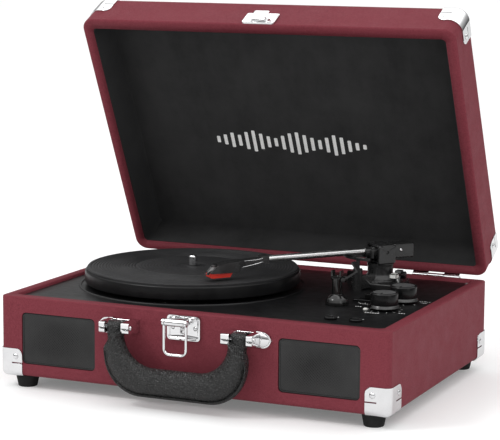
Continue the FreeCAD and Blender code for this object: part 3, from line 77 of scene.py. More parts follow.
class Surface:
    """A material that is put together node by node, with its pattern in the object's own metres."""

    def __init__(self, name, **shader):
        self.material = bpy.data.materials.new(name)
        self.material.use_nodes = True
        self.tree = self.material.node_tree
        self.shader = self.tree.nodes["Principled BSDF"]
        set_inputs(self.shader, shader)
        self.coords = self.tree.nodes.new("ShaderNodeTexCoord").outputs["Object"]
        self.last_normal = None

    def add(self, kind, links=(), **values):
        node = self.tree.nodes.new(kind)
        set_inputs(node, {k: v for k, v in values.items() if not k.startswith("_")})
        for key, value in values.items():
            if key.startswith("_"):
                setattr(node, key[1:], value)
        for name, source in dict(links).items():
            self.tree.links.new(source, node.inputs[name])
        return node

    def noise(self, scale, detail=4.0, rough=0.55, vector=None):
        node = self.add("ShaderNodeTexNoise", {"Vector": vector or self.coords}, Scale=scale, Detail=detail,
                        Roughness=rough)
        return node.outputs["Fac"]

    def cells(self, scale, feature="F1", smooth=None):
        node = self.add("ShaderNodeTexVoronoi", {"Vector": self.coords}, _feature=feature, Scale=scale)
        if smooth is not None:
            node.inputs["Smoothness"].default_value = smooth
        return node.outputs["Distance"]

    def stretched(self, scale):
        return self.add("ShaderNodeMapping", {"Vector": self.coords}, Scale=scale).outputs["Vector"]

    def ramp(self, source, stops):
        node = self.add("ShaderNodeValToRGB", {"Fac": source})
        elements = node.color_ramp.elements
        while len(elements) < len(stops):
            elements.new(0.5)
        for element, (place, colour) in zip(elements, stops):
            element.position = place
            element.color = (*colour, 1.0) if len(colour) == 3 else colour
        return node.outputs["Color"]

    def spread(self, source, low, high, start=0.3, end=0.7):
        """Turns a 0-1 pattern into a number between low and high."""
        node = self.add("ShaderNodeMapRange", {"Value": source})
        set_inputs(node, {"From Min": start, "From Max": end, "To Min": low, "To Max": high})
        return node.outputs["Result"]

    def blend(self, factor, a, b):
        node = self.tree.nodes.new("ShaderNodeMix")
        node.data_type = "RGBA"
        self.tree.links.new(factor, node.inputs["Factor"])
        for socket, value in ((6, a), (7, b)):
            if isinstance(value, tuple):
                node.inputs[socket].default_value = (*value, 1.0)
            else:
                self.tree.links.new(value, node.inputs[socket])
        return node.outputs[2]

    def colour(self, source):
        self.tree.links.new(source, self.shader.inputs["Base Color"])

    def rough(self, source):
        self.tree.links.new(source, self.shader.inputs["Roughness"])

    def bump(self, height, distance, strength=1.0):
        links = {"Height": height}
        if self.last_normal:
            links["Normal"] = self.last_normal
        node = self.add("ShaderNodeBump", links, Strength=strength, Distance=distance)
        self.last_normal = node.outputs["Normal"]
        self.tree.links.new(self.last_normal, self.shader.inputs["Normal"])


def leatherette(name, base, dark, light):
    """Thin vinyl skin on board: fine pebbled grain, faint clouds in its colour, slightly uneven gloss."""
    s = Surface(name, **{"Specular IOR Level": 0.05})
    clouds = s.noise(7.0, 3.0)
    grain = s.cells(1250.0, "SMOOTH_F1", 0.35)
    fine = s.noise(2600.0, 2.0)
    body = s.ramp(clouds, [(0.3, dark), (0.52, base), (0.75, light)])
    worn = s.blend(s.spread(s.noise(330.0, 4.0, 0.8), 0.0, 0.55, 0.42, 0.62), light, body)
    speck = s.blend(s.spread(s.noise(900.0, 3.0, 0.7), 0.0, 0.55, 0.45, 0.7), worn, dark)
    pores = s.blend(s.spread(grain, 0.0, 0.30, 0.35, 0.8), speck, dark)
    s.colour(pores)
    s.rough(s.spread(s.noise(60.0, 4.0), 0.46, 0.60))
    s.bump(grain, 0.00022, 0.6)
    s.bump(fine, 0.00006, 0.5)
    return s.material


def grained_leather(name):
    """The handle's cover: a coarse creased grain whose high spots glint."""
    s = Surface(name, **{"Specular IOR Level": 0.6})
    cells = s.cells(520.0, "DISTANCE_TO_EDGE")
    creases = s.noise(320.0, 5.0, 0.7)
    tone = s.ramp(s.noise(700.0, 4.0, 0.75), [(0.42, (0.003, 0.003, 0.003)), (0.64, (0.018, 0.018, 0.0178))])
    s.colour(s.blend(s.spread(cells, 0.0, 0.8, 0.0, 0.2), (0.003, 0.003, 0.003), tone))
    s.rough(s.spread(creases, 0.20, 0.38))
    s.bump(s.spread(cells, 0.0, 1.0, 0.0, 0.25), 0.0005, 1.0)
    s.bump(creases, 0.0009, 0.9)
    return s.material


def flocked_cloth(name):
    """The lid's lining: short black nap, with painted sheen: its light and dark mottling and lighter stripes stand
    for light caught by nap brushed this way and that.
    """
    s = Surface(name, **{"Specular IOR Level": 0.08, "Sheen Weight": 0.10, "Sheen Roughness": 0.5,
                         "Sheen Tint": (0.7, 0.72, 0.75, 1.0)})
    patches = s.noise(16.0, 6.0, 0.72)
    # Painted sheen: lighter stripes along the brushing, for light caught by the nap.
    painted_sheen_stripes = s.noise(1.0, 5.0, 0.6, s.stretched((60.0, 18.0, 18.0)))
    # Painted sheen: lighter and darker patches in the colour, for light caught by nap lying different ways.
    painted_sheen_mottle = s.ramp(patches, [(0.34, (0.0160, 0.0160, 0.0162)), (0.66, (0.030, 0.030, 0.0302))])
    s.colour(s.blend(s.spread(painted_sheen_stripes, 0.0, 0.5), painted_sheen_mottle, (0.034, 0.034, 0.0342)))
    s.rough(s.spread(patches, 0.85, 0.98))
    s.bump(s.noise(3200.0, 2.0), 0.00018, 0.7)
    s.bump(patches, 0.0006, 0.3)
    return s.material


def moulded_plastic(name, low, high, rough_low, rough_high, grain=0.00004, **shader):
    """Injection-moulded plastic with a spark-eroded texture and faint uneven gloss."""
    s = Surface(name, **{"Specular IOR Level": 0.5, **shader})
    s.colour(s.ramp(s.noise(35.0, 3.0), [(0.3, low), (0.7, high)]))
    s.rough(s.spread(s.noise(120.0, 5.0), rough_low, rough_high))
    s.bump(s.noise(900.0, 3.0), grain, 0.6)
    return s.material


def plated_metal(name, low, high, rough_low, rough_high, wave=0.0003):
    """Pressed and plated sheet: bright, slightly wavy, hazy from handling, with painted shade darkening its
    corners and hollows.
    """
    s = Surface(name, Metallic=1.0)
    haze = s.noise(45.0, 5.0, 0.6)
    # Painted shade: an ambient occlusion mask that finds the corners, hollows and gaps round rivets, where shade
    # falls.
    painted_crevice_shade = s.add("ShaderNodeAmbientOcclusion", Distance=0.0022, _samples=8).outputs["AO"]
    bright = s.ramp(haze, [(0.3, low), (0.7, high)])
    # Painted shade: where that mask is dark, the colour goes to near black.
    s.colour(s.blend(s.spread(painted_crevice_shade, 0.0, 1.0, 0.30, 0.72), (0.012, 0.012, 0.012), bright))
    s.rough(s.spread(s.noise(160.0, 6.0, 0.7), rough_low, rough_high))
    s.bump(s.noise(70.0, 2.0), wave, 0.25)
    return s.material


def brushed_metal(name, low, high, rough_low, rough_high, stretch):
    s = Surface(name, Metallic=1.0)
    lines = s.noise(1.0, 4.0, 0.6, s.stretched(stretch))
    s.colour(s.ramp(lines, [(0.3, low), (0.7, high)]))
    s.rough(s.spread(lines, rough_low, rough_high))
    s.bump(lines, 0.00003, 0.4)
    return s.material


def soft_rubber(name, low, high):
    s = Surface(name, **{"Specular IOR Level": 0.3})
    s.colour(s.ramp(s.noise(80.0, 4.0), [(0.3, low), (0.7, high)]))
    s.rough(s.spread(s.noise(300.0, 3.0), 0.6, 0.78))
    s.bump(s.noise(1500.0, 2.0), 0.00005, 0.5)
    return s.material


def grooved_mat(name, centre):
    """The platter's slip mat: fine concentric ribs in dull rubber."""
    s = Surface(name, **{"Specular IOR Level": 0.35})
    shifted = s.add("ShaderNodeMapping", {"Vector": s.coords}, Location=(-centre.x, -centre.y, 0.0))
    rings = s.add("ShaderNodeTexWave", {"Vector": shifted.outputs["Vector"]}, _wave_type="RINGS",
                  _rings_direction="Z", Scale=110.0, Distortion=0.0, Detail=0.0)
    s.colour(s.ramp(s.noise(50.0, 4.0), [(0.3, (0.012, 0.012, 0.013)), (0.7, (0.022, 0.022, 0.023))]))
    s.rough(s.spread(s.noise(400.0, 3.0), 0.55, 0.72))
    s.bump(rings.outputs["Fac"], 0.0003, 0.6)
    s.bump(s.noise(1800.0, 2.0), 0.00005, 0.4)
    return s.material


def printed_ink(name, base):
    s = Surface(name, **{"Specular IOR Level": 0.4})
    tone = tuple(c * 0.88 for c in base)
    s.colour(s.ramp(s.noise(500.0, 3.0), [(0.25, tone), (0.6, base)]))
    s.rough(s.spread(s.noise(700.0, 2.0), 0.45, 0.6))
    s.bump(s.noise(2200.0, 2.0), 0.00003, 0.4)
    return s.material


def circuit_board(name):
    s = Surface(name, **{"Coat Weight": 0.3})
    tracks = s.cells(260.0, "F1")
    s.colour(s.ramp(tracks, [(0.35, (0.02, 0.13, 0.05)), (0.5, (0.03, 0.2, 0.08))]))
    s.rough(s.spread(s.noise(200.0), 0.3, 0.45))
    s.bump(tracks, 0.0001, 0.4)
    return s.material


def painted_board(name):
    s = Surface(name, **{"Specular IOR Level": 0.3})
    fibres = s.noise(1.0, 5.0, 0.65, s.stretched((900.0, 160.0, 300.0)))
    s.colour(s.ramp(fibres, [(0.3, (0.018, 0.017, 0.016)), (0.7, (0.035, 0.032, 0.030))]))
    s.rough(s.spread(fibres, 0.6, 0.8))
    s.bump(fibres, 0.0001, 0.5)
    return s.material


BURGUNDY = leatherette("burgundy_leatherette", (0.172, 0.033, 0.044), (0.118, 0.020, 0.029),
                       (0.200, 0.043, 0.056))
BLACK_LEATHER = grained_leather("black_leather")
LINER_CLOTH = flocked_cloth("liner_cloth")
DECK_BLACK = moulded_plastic("deck_plastic", (0.0035, 0.0035, 0.0038), (0.0065, 0.0065, 0.007), 0.30, 0.42,
                             0.00005, **{"Specular IOR Level": 0.25})
ARM_BLACK = moulded_plastic("arm_plastic", (0.012, 0.012, 0.012), (0.022, 0.022, 0.0225), 0.16, 0.30)
GLOSS_BLACK = moulded_plastic("gloss_plastic", (0.004, 0.004, 0.004), (0.008, 0.008, 0.008), 0.06, 0.14,
                              0.00001)
KNOB_BLACK = moulded_plastic("knob_plastic", (0.004, 0.004, 0.0042), (0.008, 0.008, 0.0084), 0.16, 0.26,
                             0.00002, **{"Specular IOR Level": 0.3})
STYLUS_RED = moulded_plastic("stylus_red", (0.50, 0.020, 0.012), (0.62, 0.035, 0.02), 0.18, 0.28, 0.00002,
                             **{"Subsurface Weight": 0.08, "Subsurface Scale": 0.002})
PALE_LENS = moulded_plastic("pale_lens", (0.72, 0.72, 0.69), (0.85, 0.85, 0.82), 0.15, 0.25, 0.00002,
                            **{"Coat Weight": 0.4})
CHROME = plated_metal("bright_plating", (0.80, 0.80, 0.81), (0.92, 0.92, 0.93), 0.06, 0.14)
TUBE_METAL = brushed_metal("tube_metal", (0.80, 0.80, 0.80), (0.93, 0.93, 0.92), 0.2, 0.3,
                           (60.0, 60.0, 1500.0))
STEEL = brushed_metal("plain_steel", (0.42, 0.42, 0.43), (0.58, 0.58, 0.59), 0.3, 0.45, (900.0, 200.0, 200.0))
DARK_METAL = plated_metal("dark_plating", (0.10, 0.10, 0.10), (0.34, 0.34, 0.34), 0.10, 0.30, 0.0008)
SATIN = brushed_metal("satin_trim", (0.05, 0.05, 0.05), (0.09, 0.09, 0.09), 0.18, 0.30, (200.0, 200.0, 900.0))
# Painted light: a lighter grey for the discs on the knobs' tops, standing for the overhead light on them.
PAINTED_LIT_KNOB_FACE = moulded_plastic("knob_face_painted_light", (0.060, 0.060, 0.061), (0.085, 0.085, 0.086), 0.40, 0.55, 0.00003)
BRASS = brushed_metal("turned_brass", (0.50, 0.36, 0.14), (0.66, 0.50, 0.22), 0.25, 0.38,
                      (300.0, 300.0, 2000.0))
RUBBER = soft_rubber("rubber", (0.006, 0.006, 0.006), (0.013, 0.013, 0.013))
CONE_PAPER = soft_rubber("cone_paper", (0.02, 0.02, 0.02), (0.035, 0.033, 0.03))
MAT_RUBBER = grooved_mat("mat_rubber", (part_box("platter_mat")[0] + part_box("platter_mat")[1]) / 2)
GRILLE_BLACK = moulded_plastic("grille_wire", (0.012, 0.012, 0.0122), (0.025, 0.025, 0.0252), 0.35, 0.5,
                               0.00003)
WHITE_INK = printed_ink("white_ink", (0.80, 0.80, 0.79))
BOARD_GREEN = circuit_board("circuit_board")
BOTTOM_BOARD = painted_board("bottom_board")

FINISHES = {
    BURGUNDY: "base_shell lid_shell",
    BLACK_LEATHER: "handle",
    LINER_CLOTH: "lid_liner",
    DECK_BLACK: "deck_plate switch_bezels platter jack_panel speaker_frames control_pots",
    ARM_BLACK: "tonearm_base arm_turret arm_block headshell cartridge lift_platform rest_clip counterweight",
    GLOSS_BLACK: "arm_rest",
    DARK_METAL: "finger_lift",
    KNOB_BLACK: "volume_knob source_knob speed_slider stop_slider cue_lever audio_jacks dc_jack",
    STYLUS_RED: "stylus",
    PALE_LENS: "power_light",
    CHROME: "base_corners lid_corners base_rivets lid_rivets latch_plate latch_lever latch_loop catch_plate "
            "hinge_base_leaves hinge_lid_leaves hinge_base_screws hinge_lid_screws pivot_pins "
            "handle_brackets spindle rca_jacks",
    TUBE_METAL: "arm_tube",
    STEEL: "panel_screws motor speaker_magnets",
    BRASS: "platter_bearing motor_pulley",
    RUBBER: "feet drive_belt motor_mounts",
    CONE_PAPER: "speaker_cones",
    MAT_RUBBER: "platter_mat",
    GRILLE_BLACK: "speaker_grilles",
    BOARD_GREEN: "main_board",
    BOTTOM_BOARD: "bottom_panel",
}
for finish, names in FINISHES.items():
    for node_name in names.split():
        for material_slot in NODES[node_name].material_slots:
            material_slot.material = finish


# ---- mesh helpers --------------------------------------------------------------------------------

def add_piece(name, bm, material, body, replaced=(), smooth=35.0):
    """Turns a bmesh into a named piece that rides on a body and, where asked, stands for CAD nodes."""
    bmesh.ops.recalc_face_normals(bm, faces=bm.faces)
    mesh = bpy.data.meshes.new(name)
    bm.to_mesh(mesh)
    bm.free()
    mesh.materials.append(material)
    mesh.shade_smooth()
    mesh.set_sharp_from_angle(angle=math.radians(smooth))
    obj = bpy.data.objects.new(name, mesh)
    bpy.context.scene.collection.objects.link(obj)
    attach(obj, body)
    if replaced:
        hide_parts(*replaced)
    return obj


def lathe(bm, profile, centre, steps):
    """Sweeps a list of (radius, height) round the upright line through centre; ends at radius 0 close up."""
    columns = []
    for i in range(steps):
        angle = math.tau * i / steps
        columns.append([bm.verts.new((centre.x + r * math.cos(angle), centre.y + r * math.sin(angle), z))
                        for r, z in profile])
    for i in range(steps):
        a, b = columns[i], columns[(i + 1) % steps]
        for j in range(len(profile) - 1):
            bm.faces.new((a[j], b[j], b[j + 1], a[j + 1]))
    bmesh.ops.remove_doubles(bm, verts=bm.verts, dist=1e-7)


def skin_rings(bm, rings):
    """Joins a row of equal closed rings of points into a tube with flat ends."""
    made = [[bm.verts.new(p) for p in ring] for ring in rings]
    for a, b in zip(made, made[1:]):
        for j in range(len(a)):
            k = (j + 1) % len(a)
            bm.faces.new((a[j], a[k], b[k], b[j]))
    bm.faces.new(list(reversed(made[0])))
    bm.faces.new(made[-1])


def tube_along(bm, points, radius, sides):
    """A round wire along a row of points."""
    rings, normal = [], None
    for i, point in enumerate(points):
        ahead = points[min(i + 1, len(points) - 1)] - points[max(i - 1, 0)]
        ahead.normalize()
        if normal is None:
            normal = ahead.orthogonal().normalized()
        normal = (normal - ahead * normal.dot(ahead)).normalized()
        other = ahead.cross(normal)
        rings.append([point + (normal * math.cos(a) + other * math.sin(a)) * radius
                      for a in (math.tau * k / sides for k in range(sides))])
    skin_rings(bm, rings)


def curve_points(controls, per_span):
    """Smooth points through a row of control points (Catmull-Rom)."""
    ends = [controls[0] * 2 - controls[1]] + list(controls) + [controls[-1] * 2 - controls[-2]]
    found = []
    for a, b, c, d in zip(ends, ends[1:], ends[2:], ends[3:]):
        for k in range(per_span):
            t = k / per_span
            found.append(0.5 * ((2 * b) + (c - a) * t + (2 * a - 5 * b + 4 * c - d) * t * t
                                + (3 * b - a - 3 * c + d) * t ** 3))
    return found + [controls[-1]]


def welded_copy(node_name, material):
    """A CAD piece's own surface, welded, and shaded smoothly except across its hard edges."""
    bm = bmesh.new()
    bm.from_mesh(NODES[node_name].data)
    bmesh.ops.remove_doubles(bm, verts=bm.verts, dist=2e-6)
    body = frame_body(node_name)
    return add_piece(node_name + "_skin", bm, material, body, [node_name], FLAT_SKIN_DEG)


def settle_shading(pieces):
    """Lets the large flat faces decide the shading where they run into their rounded edges."""
    for piece in pieces:
        piece.modifiers.new("weigh", "WEIGHTED_NORMAL").keep_sharp = True
    graph = bpy.context.evaluated_depsgraph_get()
    meshes = [bpy.data.meshes.new_from_object(piece.evaluated_get(graph)) for piece in pieces]
    for piece, mesh in zip(pieces, meshes):
        piece.modifiers.clear()
        piece.data = mesh


def mid(name):
    """The middle of a CAD node's box."""
    low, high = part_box(name)
    return (low + high) / 2


def frame_body(node_name):
    """The body that a CAD node rides on."""
    return next(b for b, names in frame["record"]["behaviour"]["bodies"].items() if node_name in names)


def in_lid(points):
    """From the closed lid's places to where they are with the lid open."""
    turn = Matrix.Translation(HINGE) @ Matrix.Rotation(-LID_OPEN, 4, "X") @ Matrix.Translation(-HINGE)
    return [turn @ Vector(p) for p in points]


# ---- handle --------------------------------------------------------------------------------------

def smoothstep(low, high, value):
    t = min(max((value - low) / (high - low), 0.0), 1.0)
    return t * t * (3 - 2 * t)


# The welt, from the foot of its groove to the grip's outer edge: (steps in from that edge, mm across).
WELT = ((3.55, 2.9), (3.3, 2.5), (3.0, 2.8), (2.6, 3.3), (1.9, 3.6), (1.1, 3.5), (0.4, 2.8), (0.05, 1.6))
WELT_DEPTH = 3.7


def grip_section(width, depth):
    """Half the grip's outline, from its inner edge to its outer one, in (outward, across) from its middle:
    a full padded body, a stitched groove, and a rounded welt along the outer edge."""
    half = width / 2
    reach = half - 1.0
    points = []
    for k in range(22):
        a = math.radians(180.0 - 152.0 * k / 21)
        points.append((-1.0 + reach * math.cos(a), depth * math.sin(a)))
    edge = points[-1][0]
    step = (half - edge) / WELT_DEPTH
    points = [p for p in points if p[0] <= half - 3.9 * step]
    return points + [(half - back * step, across) for back, across in WELT]


def make_handle():
    """A padded leather grip: one rounded U with a raised welt, set off by grooves, along its outer edge."""
    low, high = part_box("handle")
    middle_x, centre_y = (low.x + high.x) / 2, (low.y + high.y) / 2
    half = (high.x - low.x) / 2 - 0.3 * MM
    arm, grip, outer_r, inner_r = 17.0 * MM, 25.0 * MM, 34.0 * MM, 28.0 * MM
    bottom, top = low.z + 0.2 * MM, high.z - 0.6 * MM
    _, pin_y, pin_z = JOINTS["handle_swing"]["pos_m"]

    def contour(side_x, floor, radius, steps=(30, 44, 40)):
        """Points down the left arm, round the corner and to the middle of the bar, evenly spaced."""
        rows = [Vector((-side_x, 0, top + (floor + radius - top) * i / steps[0])) for i in range(steps[0])]
        for i in range(steps[1]):
            a = math.radians(180 + 90 * i / steps[1])
            x, z = radius * math.cos(a), radius * math.sin(a)
            rows.append(Vector((radius - side_x + x, 0, floor + radius + z)))
        rows += [Vector(((radius - side_x) * (1 - i / steps[2]), 0, floor)) for i in range(steps[2] + 1)]
        return rows

    outer, inner = contour(half, bottom, outer_r), contour(half + 0.3 * MM - arm, bottom + grip, inner_r)
    left = list(zip(outer, inner))
    right = [(Vector((-o.x, 0, o.z)), Vector((-i.x, 0, i.z))) for o, i in reversed(left[:-1])]
    rings = []
    for o, i in left + right:
        middle, out = (o + i) / 2, (o - i) / 2
        width = out.length * 2
        out.normalize()
        height = middle.z - pin_z
        end = smoothstep(-10.5 * MM, -5.5 * MM, height)
        nose = smoothstep(1.5 * MM, 5.4 * MM, height)
        width += (14.4 * MM - width) * end - 3.0 * MM * nose * nose
        depth = (8.2 * (1 - end) + 4.8 * end - 2.2 * nose * nose) * MM
        y0 = centre_y * (1 - end) + pin_y * end
        plain = smoothstep(-16.0 * MM, -9.0 * MM, height)
        section = grip_section(width / MM, depth / MM)
        ring = []
        for side in (1, -1):
            for u, v in section if side > 0 else reversed(section[1:]):
                round_v = depth / MM * max(0.0, 1 - abs(2 * u / (width / MM)) ** 3.2) ** 0.42
                v = v * (1 - plain) + round_v * plain
                ring.append(middle + out * (u * MM) + Vector((middle_x, y0 - side * v * MM, 0)))
        rings.append(ring)
    bm = bmesh.new()
    skin_rings(bm, rings)
    add_piece("handle_grip", bm, BLACK_LEATHER, "handle", ["handle"], 60.0)


def make_bracket_noses():
    """The smooth pointed noses pressed over the outer ends of the handle's holders."""
    low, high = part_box("handle_brackets")
    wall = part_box("base_shell")[0].y
    height = JOINTS["handle_swing"]["pos_m"][2] - 1.9 * MM
    reach, deep, half = 13.4 * MM, 4.4 * MM, 7.2 * MM
    bm = bmesh.new()
    for tip_x, side in ((low.x - 0.3 * MM, -1), (high.x + 0.3 * MM, 1)):
        rings = []
        for i in range(15):
            along = math.sin(math.radians(6.4 * i))
            share = max(1.0 - along ** 2.4, 0.0) ** 0.62 + 0.01
            ring = []
            for k in range(25):
                a = math.pi * k / 24
                y = wall - deep * share * math.sin(a) ** 0.8
                z = height + half * share * math.cos(a)
                ring.append(Vector((tip_x - side * reach * (1 - along), y, z)))
            rings.append(ring)
        skin_rings(bm, rings)
    add_piece("bracket_noses", bm, CHROME, "case", (), 50.0)


# ---- speaker grilles -----------------------------------------------------------------------------

def rounded_rect(w, h, r, steps=8):
    """Points round a rectangle with rounded corners, in the plane of x and z."""
    points = []
    for cx, cz, start in ((w / 2 - r, h / 2 - r, 0), (r - w / 2, h / 2 - r, 90), (r - w / 2, r - h / 2, 180),
                          (w / 2 - r, r - h / 2, 270)):
        for i in range(steps + 1):
            a = math.radians(start + 90 * i / steps)
            points.append((cx + r * math.cos(a), cz + r * math.sin(a)))
    return points


def make_grille_mesh(centre, name):
    """A sheet with staggered rows of round holes, domed a little."""
    pitch, hole, sides = 2.5 * MM, 0.86 * MM, 8
    row_h = pitch * 0.5
    columns, rows = int(GRILLE_WIDE / pitch) - 1, int(GRILLE_TALL / row_h / 2) * 2 - 3
    bm = bmesh.new()

    def inside(x, z, margin):
        dx, dz = abs(x) - (GRILLE_WIDE / 2 - GRILLE_CORNER), abs(z) - (GRILLE_TALL / 2 - GRILLE_CORNER)
        if abs(x) > GRILLE_WIDE / 2 - margin or abs(z) > GRILLE_TALL / 2 - margin:
            return False
        return dx < 0 or dz < 0 or math.hypot(dx, dz) < GRILLE_CORNER - margin

    def at(x, z, back=0.0):
        crown = 0.5 * MM * (1 - (2 * x / GRILLE_WIDE) ** 2) * (1 - (2 * z / GRILLE_TALL) ** 2)
        return (centre.x + x, centre.y - crown + back, centre.z + z)

    for row in range(rows):
        z = (row - (rows - 1) / 2) * row_h
        offset = pitch / 2 if row % 2 else 0.0
        for column in range(columns):
            x = (column - (columns - 1) / 2) * pitch + offset - pitch / 4
            if not inside(x, z, pitch * 0.6):
                continue
            diamond = [(pitch / 2, 0), (0, row_h), (-pitch / 2, 0), (0, -row_h)]
            outer = []
            for k in range(4):
                a, b = diamond[k], diamond[(k + 1) % 4]
                outer += [a, ((a[0] + b[0]) / 2, (a[1] + b[1]) / 2)]
            rim = [bm.verts.new(at(x + px, z + pz)) for px, pz in outer]
            ring = [(hole * math.cos(math.tau * k / sides), hole * math.sin(math.tau * k / sides))
                    for k in range(sides)]
            front = [bm.verts.new(at(x + px, z + pz)) for px, pz in ring]
            deep = [bm.verts.new(at(x + px, z + pz, 0.6 * MM)) for px, pz in ring]
            for k in range(sides):
                n = (k + 1) % sides
                bm.faces.new((rim[k], rim[n], front[n], front[k]))
                bm.faces.new((front[k], front[n], deep[n], deep[k]))
    bmesh.ops.remove_doubles(bm, verts=bm.verts, dist=1e-6)
    add_piece(name, bm, GRILLE_BLACK, "case", (), 40.0)


def make_grille_rim(centre, name):
    """The thin rounded frame round a speaker's mesh."""
    bm = bmesh.new()
    frame_w, t = 1.7 * MM, 0.5 * MM
    outline = rounded_rect(GRILLE_WIDE - 0.4 * MM, GRILLE_TALL - 0.4 * MM, GRILLE_CORNER)
    inner = rounded_rect(GRILLE_WIDE - 2 * frame_w, GRILLE_TALL - 2 * frame_w, GRILLE_CORNER - frame_w * 0.8)
    loops = []
    for shape, y in ((outline, 1.4 * MM), (outline, -t * 0.4), (shrink(outline, 0.93), -t), (inner, -t * 0.7),
                     (inner, 1.4 * MM)):
        loops.append([bm.verts.new((centre.x + px, centre.y + y, centre.z + pz)) for px, pz in shape])
    for a, b in zip(loops, loops[1:]):
        for k in range(len(a)):
            n = (k + 1) % len(a)
            bm.faces.new((a[k], a[n], b[n], b[k]))
    add_piece(name, bm, GLOSS_BLACK, "case", (), 40.0)


def make_grilles():
    """Both speakers' meshes and frames, left then right."""
    middle, spacing = mid("speaker_grilles"), grille_spacing(GRILLE_WIDE / GRILLE_TALL)
    face_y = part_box("speaker_grilles")[0].y - 0.1 * MM
    for side, name in ((-1, "grille_left"), (1, "grille_right")):
        centre = Vector((middle.x + side * spacing, face_y, middle.z))
        make_grille_mesh(centre, name)
        make_grille_rim(centre, name + "_rim")


def shrink(points, factor):
    """Pulls an outline in by the same small step on every side."""
    step = (1 - factor) * 8.0 * MM
    return [(x - math.copysign(step, x), z - math.copysign(step, z)) for x, z in points]


def grille_spacing(aspect):
    """How far each speaker's middle stands from the middle of the pair."""
    low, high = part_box("speaker_grilles")
    return (high.x - low.x) / 2 - (high.z - low.z) / 2 * aspect


# ---- lid lining ----------------------------------------------------------------------------------

def make_liner_mark():
    """A plain printed row of bars, like a level meter, in the middle of the lining."""
    heights = (7, 11, 16, 12, 19, 23, 17, 12, 9, 15, 21, 24, 19, 14, 10, 16, 22, 18, 12, 8, 5)
    pitch, width, lift = 7.4 * MM, 3.4 * MM, 0.12 * MM
    shell_low = CLOSED_LID_TOP - LINING_DEPTH
    middle = Vector((-10.0 * MM, HINGE.y - 113.0 * MM, shell_low - lift))
    bm = bmesh.new()
    for i, height in enumerate(heights):
        x = middle.x + (i - (len(heights) - 1) / 2) * pitch
        half_h = height * MM / 2
        outline = rounded_rect(width, 2 * half_h, 0.8 * MM, 4)
        corners = [(x + px, middle.y + pz, middle.z) for px, pz in outline]
        back = [(cx, cy, cz + lift * 1.5) for cx, cy, cz in corners]
        front_loop = [bm.verts.new(p) for p in in_lid(corners)]
        back_loop = [bm.verts.new(p) for p in in_lid(back)]
        bm.faces.new(front_loop)
        for k in range(len(outline)):
            n = (k + 1) % len(outline)
            bm.faces.new((front_loop[k], front_loop[n], back_loop[n], back_loop[k]))
    add_piece("liner_mark", bm, WHITE_INK, "lid", (), 40.0)


# ---- platter, knobs and deck ---------------------------------------------------------------------

def make_mat():
    """The rubber mat, with a raised rim, fine ribs and a smooth step where a label would lie."""
    low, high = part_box("platter_mat")
    centre, outer = mid("platter_mat"), (high.x - low.x) / 2
    top, bottom = high.z, low.z
    profile = [(outer, bottom), (outer, top - 0.7 * MM), (outer - 0.5 * MM, top - 0.1 * MM),
               (outer - 1.2 * MM, top), (outer - 3.0 * MM, top), (outer - 3.6 * MM, top - 0.5 * MM)]
    r = outer - 5.0 * MM
    while r > 52.0 * MM:
        profile += [(r, top - 0.5 * MM), (r - 0.35 * MM, top - 0.12 * MM), (r - 0.95 * MM, top - 0.12 * MM),
                    (r - 1.3 * MM, top - 0.5 * MM)]
        r -= 2.6 * MM
    profile += [(50.0 * MM, top - 0.5 * MM), (49.4 * MM, top), (14.0 * MM, top), (13.4 * MM, top - 0.35 * MM),
                (6.0 * MM, top - 0.35 * MM), (5.4 * MM, top), (3.9 * MM, top), (3.75 * MM, top - 0.2 * MM),
                (3.75 * MM, bottom)]
    bm = bmesh.new()
    lathe(bm, profile + profile[:1], centre, 160)
    add_piece("platter_mat_ribbed", bm, MAT_RUBBER, "platter", ["platter_mat"], 30.0)


